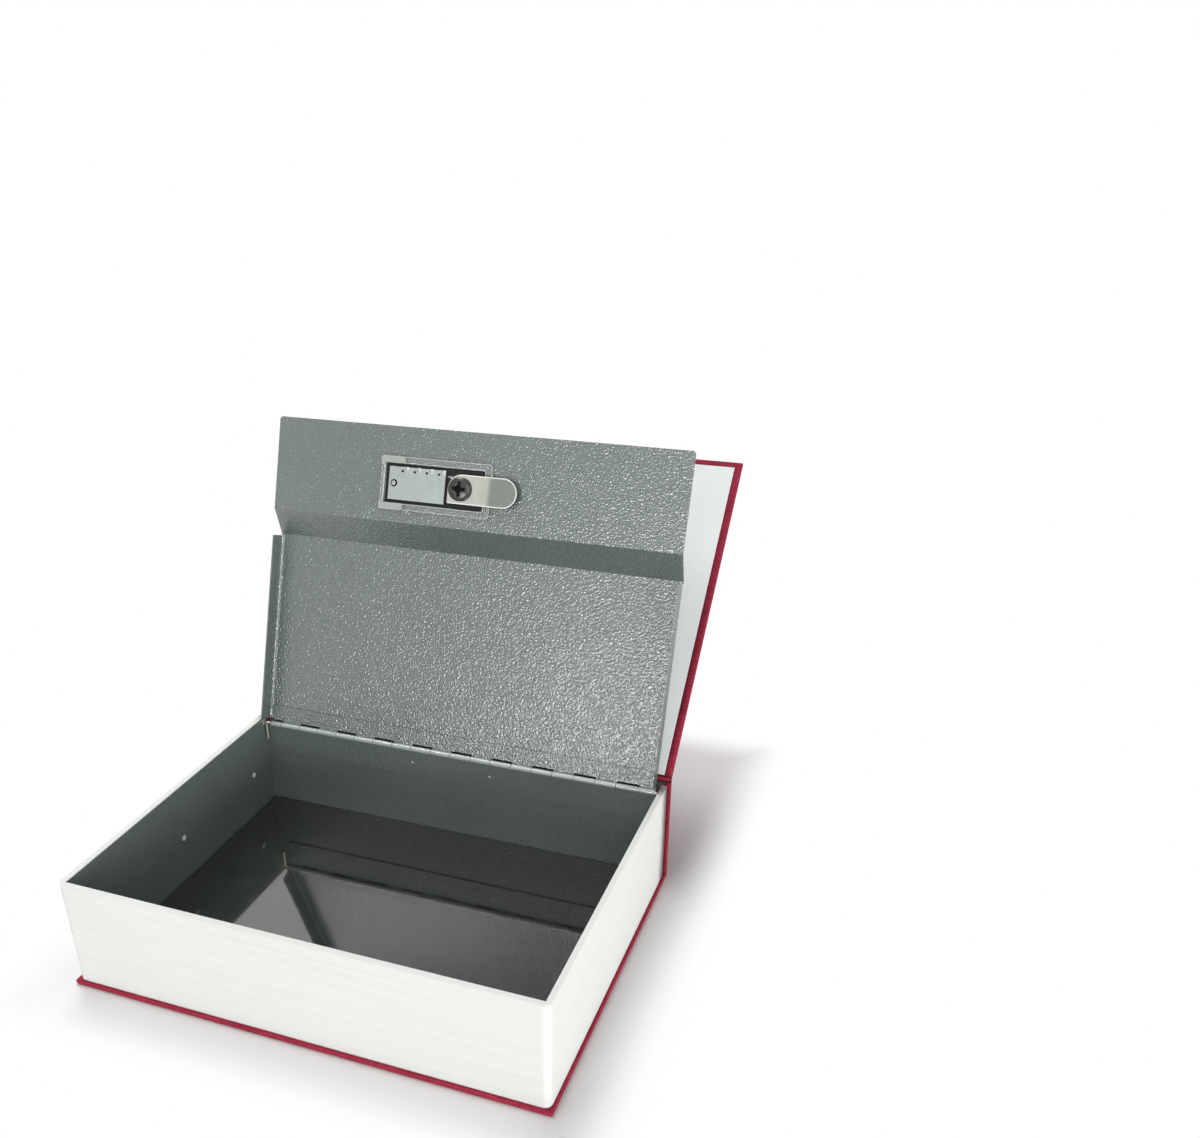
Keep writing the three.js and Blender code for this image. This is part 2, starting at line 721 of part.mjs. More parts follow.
// Number ring with ten faces and a groove between each two
function dial(index) {
  const points = [];
  const pitch = (Math.PI * 2) / dialFigures;
  const onRing = (radius, angle) => {
    return new THREE.Vector2(lockY + radius * Math.cos(angle), dialZ + radius * Math.sin(angle));
  };
  for (let figure = 0; figure < dialFigures; figure += 1) {
    const middle = Math.PI / 2 + figure * pitch;
    for (const side of [-1, 1]) {
      points.push(onRing(dialRadius, middle + (side * pitch * (1 - dialGrooveShare)) / 2));
    }
    points.push(onRing(dialRadius - dialGrooveDepth, middle + pitch / 2));
  }
  const ring = alongX(new THREE.Shape(points), around(dialX(index), dialWidth));
  const boreX = around(dialX(index), dialWidth + overrun);
  return cut(ring, rodX(camSleeveRadius + camFit, boreX, lockY, dialZ, roundSides));
}

// Cam inside a dial: a sleeve, and beside the dial a disc with one gate towards the slide bar
function dialCam(index) {
  const sleeve = [discX(index), dialX(index) + dialWidth / 2];
  const round = rodX(camSleeveRadius, sleeve, lockY, dialZ, roundSides);
  const disc = rodX(camDiscRadius, around(discX(index), camDiscWidth), lockY, dialZ, roundSides);
  const boreX = [sleeve[0] - overrun, sleeve[1] + overrun];
  const bore = rodX(camBore, boreX, lockY, dialZ, smallSides);
  const gateFloor = lockY - camDiscRadius + camGateDepth;
  const gateX = around(discX(index), camDiscWidth + camFit);
  const gate = block(gateX, [gateFloor - overrun, gateFloor], around(dialZ, camGateWidth));
  return cut(join(round, disc), bore, gate);
}

function dialAxle() {
  const inset = axleSeat - camFit;
  return rodX(axleRadius, [chamberStart - inset, chamberEnd + inset], lockY, dialZ, smallSides);
}

// Slide bar: plate beside the dials with a lug at each cam, and a tail with a foot at the knob
function slideBar() {
  const y = around(lockY - barOffset, barThickness);
  const plateEnd = chamberEnd - camFit - barTravel;
  const plate = block([barStart, plateEnd], y, [barBottom, dialZ + barLugHeight / 2]);
  const lugY = [y[0], lockY - camDiscRadius + camGateDepth - camFit];
  const lugs = Array.from({ length: dialCount }, (_, index) => {
    const x = around(discX(index) - lugOffset, barLugWidth);
    return block(x, lugY, around(dialZ, barLugHeight));
  });
  const tailZ = [barBottom, eccentricTop];
  const tail = block([plateEnd - barThickness, footX], y, tailZ);
  const foot = block([footX - barThickness, footX], [y[0], lockY + barFootHalf], tailZ);
  return join(plate, ...lugs, tail, foot);
}

// Leaf spring: a base strip with one bent finger on each dial
function detentSpring() {
  const away = lockY + springOffset;
  const near = lockY + dialRadius + camFit + springThickness / 2;
  const knee = housingBack + springBaseHeight;
  const tipY = near + (away - near) * springTipShare;
  const tipZ = dialZ + (dialZ - knee) * springTipShare;
  const corners = [[away, housingBack], [away, knee], [near, dialZ], [tipY, tipZ]];
  const finger = bentSheet(corners, springThickness, springThickness);
  const baseX = [dialX(0) - dialWidth / 2, lastDialX + dialWidth / 2];
  const base = block(baseX, around(away, springThickness), [housingBack, knee - springThickness]);
  const fingers = Array.from({ length: dialCount }, (_, index) => {
    return alongX(finger, around(dialX(index), springFingerWidth));
  });
  return join(base, ...fingers);
}

// Slotted pin that lets a new number be set
function resetPin() {
  const low = plateBack - resetPinProud;
  const rod = rodZ(resetPinRadius, [low, low + resetPinLength], resetPinX, lockY, smallSides);
  const slotY = around(lockY, resetPinRadius * 2 + overrun);
  const slotZ = [low - overrun, low + resetSlotDepth];
  return cut(rod, block(around(resetPinX, resetSlotWidth), slotY, slotZ));
}

place(lid, 'lock_housing', lockHousing(), 'black');
place(lid, 'retaining_frame', retainingFrame(), 'clear');
place(lid, 'lock_back_plate', lockBackPlate(), 'zinc');
place(lid, 'reset_pin', resetPin(), 'zinc');
place(lid, 'dial_axle', dialAxle(), 'zinc');
place(lid, 'slide_bar', slideBar(), 'zinc');
place(lid, 'detent_spring', detentSpring(), 'zinc');
for (let index = 0; index < dialCount; index += 1) {
  place(lid, `dial_${index + 1}`, dial(index), 'black');
  place(lid, `dial_cam_${index + 1}`, dialCam(index), 'zinc');
}

// Knob on the outside: disc, grip, a round shaft, and a square end bored for the screw
function knob() {
  const discZ = [bossTop + lockFit, bossTop + lockFit + knobDiscHeight];
  const disc = rodZ(knobRadius, discZ, pivotX, lockY, roundSides);
  const gripTop = discZ[1] + knobGripHeight;
  const half = knobGripWidth / 2;
  const grip = new THREE.Shape([
    new THREE.Vector2(lockY - half, discZ[0]),
    new THREE.Vector2(lockY + half, discZ[0]),
    new THREE.Vector2(lockY + half * knobGripTopShare, gripTop),
    new THREE.Vector2(lockY - half * knobGripTopShare, gripTop),
  ]);
  const across = alongX(grip, around(pivotX, knobRadius * 2));
  const trim = rodZ(knobRadius, [discZ[0], gripTop + overrun], pivotX, lockY, roundSides);
  const shoulder = eccentricTop + lockFit;
  const shaft = rodZ(shaftRadius, [shoulder, discZ[1]], pivotX, lockY, roundSides);
  const squareZ = [latchUnder + layerGap, discZ[0]];
  const square = block(around(pivotX, shaftSquare), around(lockY, shaftSquare), squareZ);
  const boreZ = [squareZ[0] - overrun, screwSeat + screwShankLength + lockFit];
  const bore = rodZ(screwShankRadius + lockFit, boreZ, pivotX, lockY, smallSides);
  return cut(join(disc, across.intersect(trim), shaft, square), bore);
}

// Square hole for the knob's end, through a piece of the latch stack
function squareHole([low, high]) {
  const side = shaftSquare + lockFit * 2;
  return block(around(pivotX, side), around(lockY, side), [low - overrun, high + overrun]);
}

// Eccentric that pushes the slide bar, with a hub that spaces the latch
function slideEccentric() {
  const discZ = [eccentricTop - eccentricHeight, eccentricTop];
  const hubZ = [latchZ + latchThickness / 2 + lockFit, eccentricTop];
  const disc = rodZ(eccentricRadius, discZ, pivotX - eccentricThrow, lockY, roundSides);
  const hub = rodZ(hubRadius, hubZ, pivotX, lockY, roundSides);
  return cut(join(disc, hub), squareHole(hubZ));
}

// Cam latch: flat heel on the knob's square, a step, and a tongue with a round end
function camLatch() {
  const half = latchWidth / 2;
  const quarter = Math.PI / 2;
  const tipZ = latchZ - latchStepRise;
  const corners = [
    [pivotX - latchHeel - overrun, latchZ],
    [pivotX + latchStepStart, latchZ],
    [pivotX + latchStepStart + latchStepRun, tipZ],
    [pivotX + latchReach + overrun, tipZ],
  ];
  const strip = alongY(bentSheet(corners, bendRadius, latchThickness), around(lockY, latchWidth));
  const heelX = pivotX - latchHeel;
  const tipX = pivotX + latchReach - half;
  const heelCorner = [heelX + latchHeelRadius, lockY + half - latchHeelRadius];
  const outline = new THREE.Shape();
  outline.moveTo(heelX, lockY);
  outline.absarc(heelX + half, lockY, half, quarter * 2, quarter * 3);
  outline.lineTo(tipX, lockY - half);
  outline.absarc(tipX, lockY, half, -quarter, 0);
  outline.absarc(tipX, lockY, half, 0, quarter);
  outline.lineTo(heelCorner[0], lockY + half);
  outline.absarc(...heelCorner, latchHeelRadius, quarter, quarter * 2);
  const body = strip.intersect(upright(outline, [tipZ - overrun, latchZ + overrun]));
  return cut(body, squareHole([latchZ, latchZ]));
}

function latchWasher() {
  const z = [screwSeat + lockFit, screwSeat + lockFit + washerThickness];
  const disc = rodZ(washerRadius, z, pivotX, lockY, roundSides);
  const holeZ = [z[0] - overrun, z[1] + overrun];
  return cut(disc, rodZ(screwShankRadius + lockFit, holeZ, pivotX, lockY, smallSides));
}

// Cross recessed screw with a flat topped head
function latchScrew() {
  const end = screwSeat - screwHeadHeight;
  const head = rodZ(screwHeadRadius, [end, screwSeat], pivotX, lockY, roundSides);
  const shankZ = [screwSeat, screwSeat + screwShankLength];
  const shank = rodZ(screwShankRadius, shankZ, pivotX, lockY, smallSides);
  const arms = [[crossLength, crossWidth], [crossWidth, crossLength]].map(([x, y]) => {
    return block(around(pivotX, x), around(lockY, y), [end - overrun, end + crossDepth]);
  });
  return cut(join(head, shank), ...arms);
}

place(lid, 'knob', knob(), 'black');
place(lid, 'slide_eccentric', slideEccentric(), 'nylon');
place(lid, 'cam_latch', camLatch(), 'zinc');
place(lid, 'latch_washer', latchWasher(), 'nylon');
place(lid, 'latch_screw', latchScrew(), 'dark');

// One cloth over back and spine: outer sheets, edges, and the border turned in on the boards.
// Its top steps down inside, under the end of the closed front cover.
function backSpineCloth() {
  const cloth = clothThickness;
  const innerY = spineBoardInner - layerGap - cloth;
  const shoulderY = jointY - jointSetback + jointClearance;
  const corner = spineCornerRadius;
  const outline = new THREE.Shape();
  outline.moveTo(-halfDepth, 0);
  outline.lineTo(halfDepth - corner, 0);
  outline.absarc(halfDepth - corner, corner, corner, -Math.PI / 2, 0);
  outline.lineTo(halfDepth, spineTop);
  outline.lineTo(shoulderY, spineTop);
  outline.lineTo(shoulderY, spineShoulder);
  outline.lineTo(innerY, spineShoulder);
  outline.lineTo(innerY, caseThickness);
  outline.lineTo(-halfDepth, caseThickness);
  const boardX = [-boardHalf - layerGap, boardHalf + layerGap];
  const above = spineTop + overrun;
  const flat = block(boardX, [cloth - halfDepth, halfDepth - cloth], [cloth, caseThickness - cloth]);
  const upstand = block(boardX, [innerY + cloth, halfDepth - cloth], [cloth, above]);
  const windowX = [-paperHalf - layerGap, paperHalf + layerGap];
  const flatWindowY = [turnInFore - halfDepth, innerY + cloth + layerGap];
  const flatWindow = block(windowX, flatWindowY, [cloth, caseThickness + overrun]);
  const spineWindowY = [innerY - overrun, halfDepth - cloth];
  const spineWindow = block(windowX, spineWindowY, [caseThickness - cloth, above]);
  return cut(alongX(outline, [-halfLength, halfLength]), flat, upstand, flatWindow, spineWindow);
}

function backBoard() {
  const low = clothThickness + layerGap;
  const y = [-boardFore, spineBoardInner - layerGap];
  return block([-boardHalf, boardHalf], y, [low, low + boardThickness]);
}

function spineBoard() {
  const y = [spineBoardInner, spineBoardInner + boardThickness];
  const z = [clothThickness + layerGap, spineShoulder - spineBoardDrop];
  return block([-boardHalf, boardHalf], y, z);
}

function backEndpaper() {
  const y = [turnInFore + layerGap - halfDepth, spineBoardInner - layerGap * 2];
  return block([-paperHalf, paperHalf], y, [caseThickness - clothThickness, caseThickness]);
}

place(safe, 'back_spine_cloth', backSpineCloth(), 'cloth');
place(safe, 'back_board', backBoard(), 'board');
place(safe, 'spine_board', spineBoard(), 'board');
place(safe, 'back_endpaper', backEndpaper(), 'paper');

// Everything in front of the spine turns about the cloth joint's axis
const joint = new THREE.Group();
joint.position.set(0, jointY, jointZ);
safe.add(joint);
place(joint, 'cloth_joint', rodX(jointRadius, [-halfLength, halfLength], 0, 0, smallSides), 'cloth');

const cover = new THREE.Group();
cover.rotation.x = -THREE.MathUtils.degToRad(coverOpenAngle);
joint.add(cover);

// Front cloth: outer sheet, three edges, and the border turned in on the board
function frontCloth() {
  const cloth = clothThickness;
  const y = [-coverDepth, -jointSetback];
  const z = [jointRadius - caseThickness, jointRadius];
  const sheet = block([-halfLength, halfLength], y, z);
  const boardX = [-boardHalf - layerGap, boardHalf + layerGap];
  const room = block(boardX, [y[0] + cloth, y[1] + overrun], [z[0] + cloth, z[1] - cloth]);
  const windowX = [-paperHalf - layerGap, paperHalf + layerGap];
  const window = block(windowX, [y[0] + turnInFore, y[1] + overrun], [z[0] - overrun, z[1] - cloth]);
  return cut(sheet, room, window);
}

function frontBoard() {
  const top = jointRadius - clothThickness - layerGap;
  const y = [clothThickness + layerGap - coverDepth, -jointSetback - layerGap];
  return block([-boardHalf, boardHalf], y, [top - boardThickness, top]);
}

function frontEndpaper() {
  const low = jointRadius - caseThickness;
  const y = [turnInFore + layerGap - coverDepth, -jointSetback - layerGap];
  return block([-paperHalf, paperHalf], y, [low, low + clothThickness]);
}

// Rectangular foil rule, inset from the stamped frame's outer edge
function foilFrame(inset, rule) {
  const right = halfLength - foilFromHead;
  const top = halfDepth - foilFromSpine - jointY;
  const z = [jointRadius + layerGap, jointRadius + layerGap + foilThickness];
  const pane = (margin, span) => {
    const x = [right - foilLength + margin, right - margin];
    return block(x, [top - foilDepth + margin, top - margin], span);
  };
  return cut(pane(inset, z), pane(inset + rule, [z[0] - overrun, z[1] + overrun]));
}

// Plain pointed rosette in the middle of the foil rules
function foilOrnament() {
  const x = halfLength - foilFromHead - foilLength / 2;
  const y = halfDepth - foilFromSpine - jointY - foilDepth / 2;
  const z = [jointRadius + layerGap, jointRadius + layerGap + foilThickness];
  const half = (sign) => ornamentOutlineShares.map(([out, along]) => {
    const across = (sign * out * ornamentWidth) / 2;
    return new THREE.Vector2(x + across, y + (sign * along * ornamentLength) / 2);
  });
  return upright(new THREE.Shape([...half(1), ...half(-1)]), z);
}

place(cover, 'front_cloth', frontCloth(), 'cloth');
place(cover, 'front_board', frontBoard(), 'board');
place(cover, 'front_endpaper', frontEndpaper(), 'paper');
place(cover, 'foil_frame_outer', foilFrame(0, foilRule), 'foil');
place(cover, 'foil_frame_inner', foilFrame(foilInnerInset, foilInnerRule), 'foil');
place(cover, 'foil_ornament', foilOrnament(), 'foil');

export default safe;
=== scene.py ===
"""Looks of the book diversion safe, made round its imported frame."""
import itertools
import math

import bmesh
import bpy
import numpy as np
from mathutils import Matrix, Vector


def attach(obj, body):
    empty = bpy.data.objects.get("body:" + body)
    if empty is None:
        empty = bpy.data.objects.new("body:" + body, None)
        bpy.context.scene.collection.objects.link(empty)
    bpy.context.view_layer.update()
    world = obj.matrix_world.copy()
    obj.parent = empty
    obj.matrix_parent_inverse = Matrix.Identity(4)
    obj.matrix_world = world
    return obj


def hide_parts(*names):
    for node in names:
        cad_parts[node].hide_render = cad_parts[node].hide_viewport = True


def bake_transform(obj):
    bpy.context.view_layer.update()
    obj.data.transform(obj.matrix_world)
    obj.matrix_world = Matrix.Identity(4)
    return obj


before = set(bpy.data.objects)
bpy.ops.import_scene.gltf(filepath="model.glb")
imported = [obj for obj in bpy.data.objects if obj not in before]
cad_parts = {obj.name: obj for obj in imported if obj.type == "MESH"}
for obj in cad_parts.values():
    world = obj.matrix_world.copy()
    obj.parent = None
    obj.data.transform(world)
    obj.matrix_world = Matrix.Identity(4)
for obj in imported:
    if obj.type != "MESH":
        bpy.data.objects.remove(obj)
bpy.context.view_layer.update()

# Places of the moving parts, in millimetres, as the CAD has them
MM = 0.001
LID_TURN = math.radians(109.5)
COVER_TURN = math.radians(135.5)
HINGE_Y, HINGE_Z = 91.8, 59.7
JOINT_Y, JOINT_Z = 99.1, 65.8
LOCK_Y = -154.4
PIVOT_X = -4.8
TONGUE_TIP_X = 21.6
DIAL_Z = -3.9
DIAL_X = (-42.0, -34.4, -26.8, -19.2)
FRAME_FACE = -10.4
LID = (LID_TURN, (HINGE_Y, HINGE_Z))
COVER = (COVER_TURN, (JOINT_Y, JOINT_Z))

# Sheet thickness, the hinge barrel where the coat has a painted highlight, and the cloth's threads,
# in millimetres
STEEL = 0.8
BARREL_RADIUS, BARREL_FADE = 1.6, 1.9
THREAD_PITCH = 0.52

# Sockets of a Mix node that mixes colours
MIX_SHARE, MIX_LOW, MIX_HIGH, MIX_RESULT = 0, 6, 7, 2


def srgb(red, green, blue):
    """A colour given as screen values from 0 to 255, in the linear values that shaders take."""
    share = np.array([red, green, blue]) / 255
    linear = np.where(share <= 0.04045, share / 12.92, ((share + 0.055) / 1.055) ** 2.4)
    return (*linear.tolist(), 1.0)


def darker(colour, share):
    """The same colour with only a share of its light."""
    return (*(level * share for level in colour[:3]), 1.0)


# Shader maths
class Tone:
    """A value that varies over a surface, with ordinary arithmetic on it."""

    def __init__(self, finish, socket):
        self.finish, self.socket = finish, socket

    def maths(self, operation, *values):
        settings = {"operation": operation}
        made = self.finish.node("ShaderNodeMath", settings, dict(enumerate(values)))
        return Tone(self.finish, made.outputs[0])

    def __add__(self, other):
        return self.maths("ADD", self, other)

    def __sub__(self, other):
        return self.maths("SUBTRACT", self, other)

    def __rsub__(self, other):
        return self.maths("SUBTRACT", other, self)

    def __mul__(self, other):
        return self.maths("MULTIPLY", self, other)

    __radd__ = __add__

    def sine(self):
        return self.maths("SINE", self)

    def size(self):
        return self.maths("ABSOLUTE", self)

    def higher(self, other):
        return self.maths("MAXIMUM", self, other)

    def between(self, low, high):
        """0 up to low, 1 from high, and a smooth rise between them."""
        settings = {"interpolation_type": "SMOOTHSTEP"}
        sockets = {"Value": self, "From Min": low, "From Max": high}
        return Tone(self.finish, self.finish.node("ShaderNodeMapRange", settings, sockets).outputs[0])


class Finish:
    """A material: one Principled shader, and the nodes that vary what it shows."""

    def __init__(self, name, **constants):
        self.material = bpy.data.materials.new(name)
        self.material.use_nodes = True
        self.tree = self.material.node_tree
        self.tree.nodes.clear()
        self.shader = self.node("ShaderNodeBsdfPrincipled", {}, {})
        self.output = self.node("ShaderNodeOutputMaterial", {}, {"Surface": self.shader.outputs[0]})
        self.set(**constants)

    def set(self, **values):
        """Sets the shader's sockets: base_color is Base Color, and so on."""
        for key, value in values.items():
            words = key.replace("_", " ").title().replace("Ior", "IOR")
            self.give(self.shader.inputs[words], value)

    def give(self, socket, value):
        if isinstance(value, Tone):
            self.tree.links.new(value.socket, socket)
        elif isinstance(value, bpy.types.NodeSocket):
            self.tree.links.new(value, socket)
        else:
            socket.default_value = value

    def node(self, kind, settings, sockets):
        """Any node: its settings are set first, then the values or links of its sockets."""
        made = self.tree.nodes.new(kind)
        for key, value in settings.items():
            setattr(made, key, value)
        for key, value in sockets.items():
            self.give(made.inputs[key], value)
        return made

    def place(self, turn=0.0, axis=(0.0, 0.0), scale=(1.0, 1.0, 1.0)):
        """Object coordinates, turned back about an axis along X, then stretched by scale."""
        found = self.node("ShaderNodeTexCoord", {}, {}).outputs["Object"]
        if turn:
            sockets = {
                "Vector": found,
                "Location": (0.0, axis[0] * MM, axis[1] * MM),
                "Rotation": (-turn, 0.0, 0.0),
            }
            found = self.node("ShaderNodeMapping", {"vector_type": "TEXTURE"}, sockets).outputs[0]
        sockets = {"Vector": found, "Scale": scale}
        return self.node("ShaderNodeMapping", {"vector_type": "POINT"}, sockets).outputs[0]

    def parts(self, vector):
        made = self.node("ShaderNodeSeparateXYZ", {}, {"Vector": vector})
        return [Tone(self, socket) for socket in made.outputs]

    def noise(self, vector, scale, detail=2.0, roughness=0.5):
        """Noise from 0 to 1, with about scale features to the metre."""
        sockets = {"Vector": vector, "Scale": scale, "Detail": detail, "Roughness": roughness}
        return Tone(self, self.node("ShaderNodeTexNoise", {}, sockets).outputs[0])

    def mix(self, share, low, high):
        """The low colour where share is 0 and the high colour where it is 1."""
        sockets = {MIX_SHARE: share, MIX_LOW: low, MIX_HIGH: high}
        return self.node("ShaderNodeMix", {"data_type": "RGBA"}, sockets).outputs[MIX_RESULT]

    def lay_over(self, share, kind, sockets):
        """Shows another shader in place of the first one where share is 1."""
        other = self.node(kind, {}, sockets).outputs[0]
        both = self.node("ShaderNodeMixShader", {}, {0: share, 1: self.shader.outputs[0], 2: other})
        self.give(self.output.inputs["Surface"], both.outputs[0])

    def bump(self, height, depth):
        """Relief whose full height is depth, in millimetres."""
        sockets = {"Strength": 1.0, "Distance": depth * MM, "Height": height}
        self.set(normal=self.node("ShaderNodeBump", {}, sockets).outputs[0])


def hammered_coat(name, dark, light, turn=0.0, axis=(0.0, 0.0)):
    """Grey-green powder coat: pebbles of a millimetre or so, glossy enough to sparkle, and smoother,
    with a painted highlight that makes it pale, where the hinge is rolled round its wire."""
    finish = Finish(name, specular_ior_level=1.0, ior=1.58)
    here = finish.place(turn, axis)
    _, along, up = finish.parts(here)
    along, up = along - (HINGE_Y - axis[0]) * MM, up - (HINGE_Z - axis[1]) * MM
    # Painted highlight: the coat over the hinge barrel is coloured pale, as light catching it, and
    # made smoother
    rolled = 1 - along.size().higher(up.size()).between(BARREL_RADIUS * MM, BARREL_FADE * MM)
    pebbles = finish.noise(here, 890.0, 0.5, 0.4)
    grain = finish.noise(here, 2400.0, 1.0)
    patches = finish.noise(here, 22.0, 3.0)
    painted = finish.mix(pebbles.between(0.35, 0.65) * 0.4 + patches * 0.6, dark, light)
    finish.set(base_color=finish.mix(rolled, painted, srgb(178, 188, 182)))
    finish.set(roughness=0.17 + grain * 0.12, metallic=0.04 + pebbles * 0.06)
    finish.bump((pebbles * 0.9 + grain * 0.1) * (1 - rolled * 0.7), 0.36)
    return finish.material


def gloss_floor():
    """Glossy black sheet with faint smears and dust."""
    finish = Finish("gloss_black_floor", coat_weight=1.0, coat_roughness=0.03, coat_ior=1.9)
    finish.set(coat_tint=(1.0, 0.97, 0.9, 1.0), specular_ior_level=0.8)
    here = finish.place()
    smears = finish.noise(finish.place(scale=(1.0, 2.4, 1.0)), 26.0, 4.0, 0.6)
    dust = finish.noise(here, 1500.0, 1.0).between(0.7, 0.82)
    shade = dust * 0.5 + smears * 0.3
    finish.set(base_color=finish.mix(shade, srgb(12, 16, 18), srgb(52, 54, 54)))
    finish.set(roughness=0.07 + smears.between(0.4, 0.8) * 0.1 + dust * 0.2)
    finish.bump(finish.noise(here, 24.0, 2.0), 0.25)
    return finish.material


def page_edges():
    """White moulded page edges: fine lines along the block, with painted shade making it darker
    between the leaves.
    """
    finish = Finish("white_page_edges", specular_ior_level=0.35)
    fine = finish.noise(finish.place(scale=(6.0, 6.0, 1500.0)), 1.0, 2.0, 0.7)
    broad = finish.noise(finish.place(scale=(9.0, 9.0, 260.0)), 1.0, 3.0, 0.6)
    patches = finish.noise(finish.place(), 16.0, 2.0)
    # Painted shade: darker lines where the leaves meet, mixed with random patches
    painted_leaf_shade_and_patches = fine.between(0.3, 0.62) * 0.4 + broad.between(0.3, 0.6) * 0.3 + patches * 0.3
    finish.set(base_color=finish.mix(painted_leaf_shade_and_patches, srgb(231, 233, 228), srgb(240, 242, 239)))
    finish.set(roughness=0.6 + broad * 0.15)
    finish.bump(fine * 0.6 + broad * 0.4, 0.03)
    return finish.material


def book_cloth(name, turn=0.0, axis=(0.0, 0.0)):
    """Crimson buckram: threads half a millimetre apart both ways, with slubs and paler spots."""
    finish = Finish(name, specular_ior_level=0.12)
    thread = 2 * math.pi / (THREAD_PITCH * MM)
    across, along, up = finish.parts(finish.place(turn, axis))
    lengthways = (across * thread).sine()
    crossways = ((along + up) * thread).sine()
    weave = lengthways * crossways * 0.5 + 0.5
    slubs = finish.noise(finish.place(turn, axis, (90.0, 1400.0, 1400.0)), 1.0, 2.0, 0.6)
    ticks = finish.noise(finish.place(turn, axis, (1300.0, 130.0, 130.0)), 1.0, 2.0, 0.6)
    patches = finish.noise(finish.place(turn, axis), 14.0, 3.0)
    tone = slubs * 0.4 + ticks * 0.3 + weave * 0.15 + patches * 0.15
    deep, light = srgb(134, 32, 52), srgb(184, 64, 84)
    finish.set(base_color=finish.mix(tone.between(0.3, 0.7), deep, light))
    finish.set(roughness=0.72 + slubs * 0.2)
    finish.bump(weave * 0.45 + slubs * 0.35 + ticks * 0.2, 0.12)
    return finish.material


def plain_paper(name, colour, turn=0.0, axis=(0.0, 0.0)):
    """Smooth endpaper: fine fibres and a slight cockle."""
    finish = Finish(name, specular_ior_level=0.3)
    here = finish.place(turn, axis)
    fibres = finish.noise(finish.place(turn, axis, (500.0, 900.0, 900.0)), 1.0, 4.0, 0.7)
    cockle = finish.noise(here, 18.0, 2.0)
    finish.set(base_color=finish.mix(fibres * 0.6 + cockle * 0.4, darker(colour, 0.96), colour))
    finish.set(roughness=0.72 + fibres * 0.15)
    finish.bump(fibres * 0.3 + cockle * 0.7, 0.12)
    return finish.material


def grey_board():
    """Grey pasteboard: pulp flecks and layered edges."""
    finish = Finish("grey_board", specular_ior_level=0.2)
    layers = finish.noise(finish.place(scale=(40.0, 900.0, 900.0)), 1.0, 2.0)
    flecks = finish.noise(finish.place(), 1200.0, 2.0)
    pulp = layers * 0.6 + flecks * 0.4
    finish.set(base_color=finish.mix(pulp, srgb(60, 56, 54), srgb(112, 106, 100)))
    finish.set(roughness=0.85 + flecks * 0.1)
    finish.bump(layers, 0.1)
    return finish.material


def plated(name, colour, rough, turn=LID_TURN):
    """Zinc-plated steel: rolled streaks along X and blotches."""
    finish = Finish(name)
    _, axis = LID
    streaks = finish.noise(finish.place(turn, axis, (120.0, 2600.0, 2600.0)), 1.0, 2.0)
    blotches = finish.noise(finish.place(turn, axis), 170.0, 3.0, 0.6)
    tarnish = blotches * 0.7 + streaks * 0.3
    finish.set(base_color=finish.mix(tarnish, darker(colour, 0.72), colour))
    finish.set(metallic=0.92, roughness=rough + streaks * 0.1 + blotches * 0.12)
    finish.bump(streaks * 0.4 + blotches * 0.6, 0.03)
    return finish.material


def latch_zinc():
    """Zinc of the latch: painted light makes its heel bright, painted shade darkens it past its step,
    and a painted highlight runs round its rim.
    """
    finish = Finish("bright_latch")
    across, along, _ = finish.parts(finish.place(*LID))
    past_tip, aside = (across - TONGUE_TIP_X * MM).higher(0.0), along - LOCK_Y * MM
    # Painted highlight: the rim round the tongue's rounded end is coloured near white, as light
    # catching its edge
    rim_start, rim_end = 7.45 * MM, 7.9 * MM
    painted_rim_highlight = (past_tip * past_tip + aside * aside).between(rim_start ** 2, rim_end ** 2)
    blotches = finish.noise(finish.place(*LID), 170.0, 3.0, 0.6)
    # Painted light and shade: the heel is coloured bright and the tongue past its step dark, with
    # random blotches
    step_start, step_end = 11.0 * MM, 15.0 * MM
    painted_heel_light_tongue_shade = across.between(step_start, step_end) * 0.7 + blotches * 0.3
    flat = finish.mix(painted_heel_light_tongue_shade, srgb(200, 203, 194), srgb(122, 129, 123))
    finish.set(base_color=finish.mix(painted_rim_highlight, flat, srgb(246, 248, 242)))
    finish.set(metallic=0.92, roughness=0.14 + blotches * 0.14)
    finish.bump(blotches, 0.03)
    return finish.material


def black_plastic():
    """Moulded black plastic with a fine spark-eroded texture."""
    finish = Finish("black_plastic", specular_ior_level=0.25)
    grain = finish.noise(finish.place(), 2600.0, 2.0)
    patches = finish.noise(finish.place(), 60.0, 2.0)
    finish.set(base_color=finish.mix(patches, srgb(14, 15, 16), srgb(28, 29, 30)))
    finish.set(roughness=0.4 + grain * 0.15)
    finish.bump(grain, 0.03)
    return finish.material


def clear_plastic():
    """Clear polystyrene moulding with flow marks, cloudy where its two clips stand up."""
    finish = Finish("clear_plastic", transmission_weight=0.9, ior=1.5)
    flow = finish.noise(finish.place(*LID, (120.0, 500.0, 500.0)), 1.0, 3.0)
    finish.set(base_color=finish.mix(flow, srgb(232, 238, 234), srgb(250, 252, 250)))
    finish.set(roughness=0.03 + flow * 0.04)
    finish.bump(flow, 0.01)
    raised = FRAME_FACE * MM - finish.parts(finish.place(*LID))[2]
    cloudy = {"Base Color": srgb(222, 227, 221), "Roughness": 0.3, "Transmission Weight": 0.2}
    finish.lay_over(raised.between(0.0, 0.0002) * 0.6, "ShaderNodeBsdfPrincipled", cloudy)
    return finish.material


def white_nylon():
    """White nylon with a waxy mottle."""
    finish = Finish("white_nylon")
    mottle = finish.noise(finish.place(), 700.0, 2.0)
    finish.set(base_color=finish.mix(mottle, srgb(216, 219, 214), srgb(240, 242, 238)))
    finish.set(roughness=0.38 + mottle * 0.15)
    finish.bump(mottle, 0.03)
    return finish.material


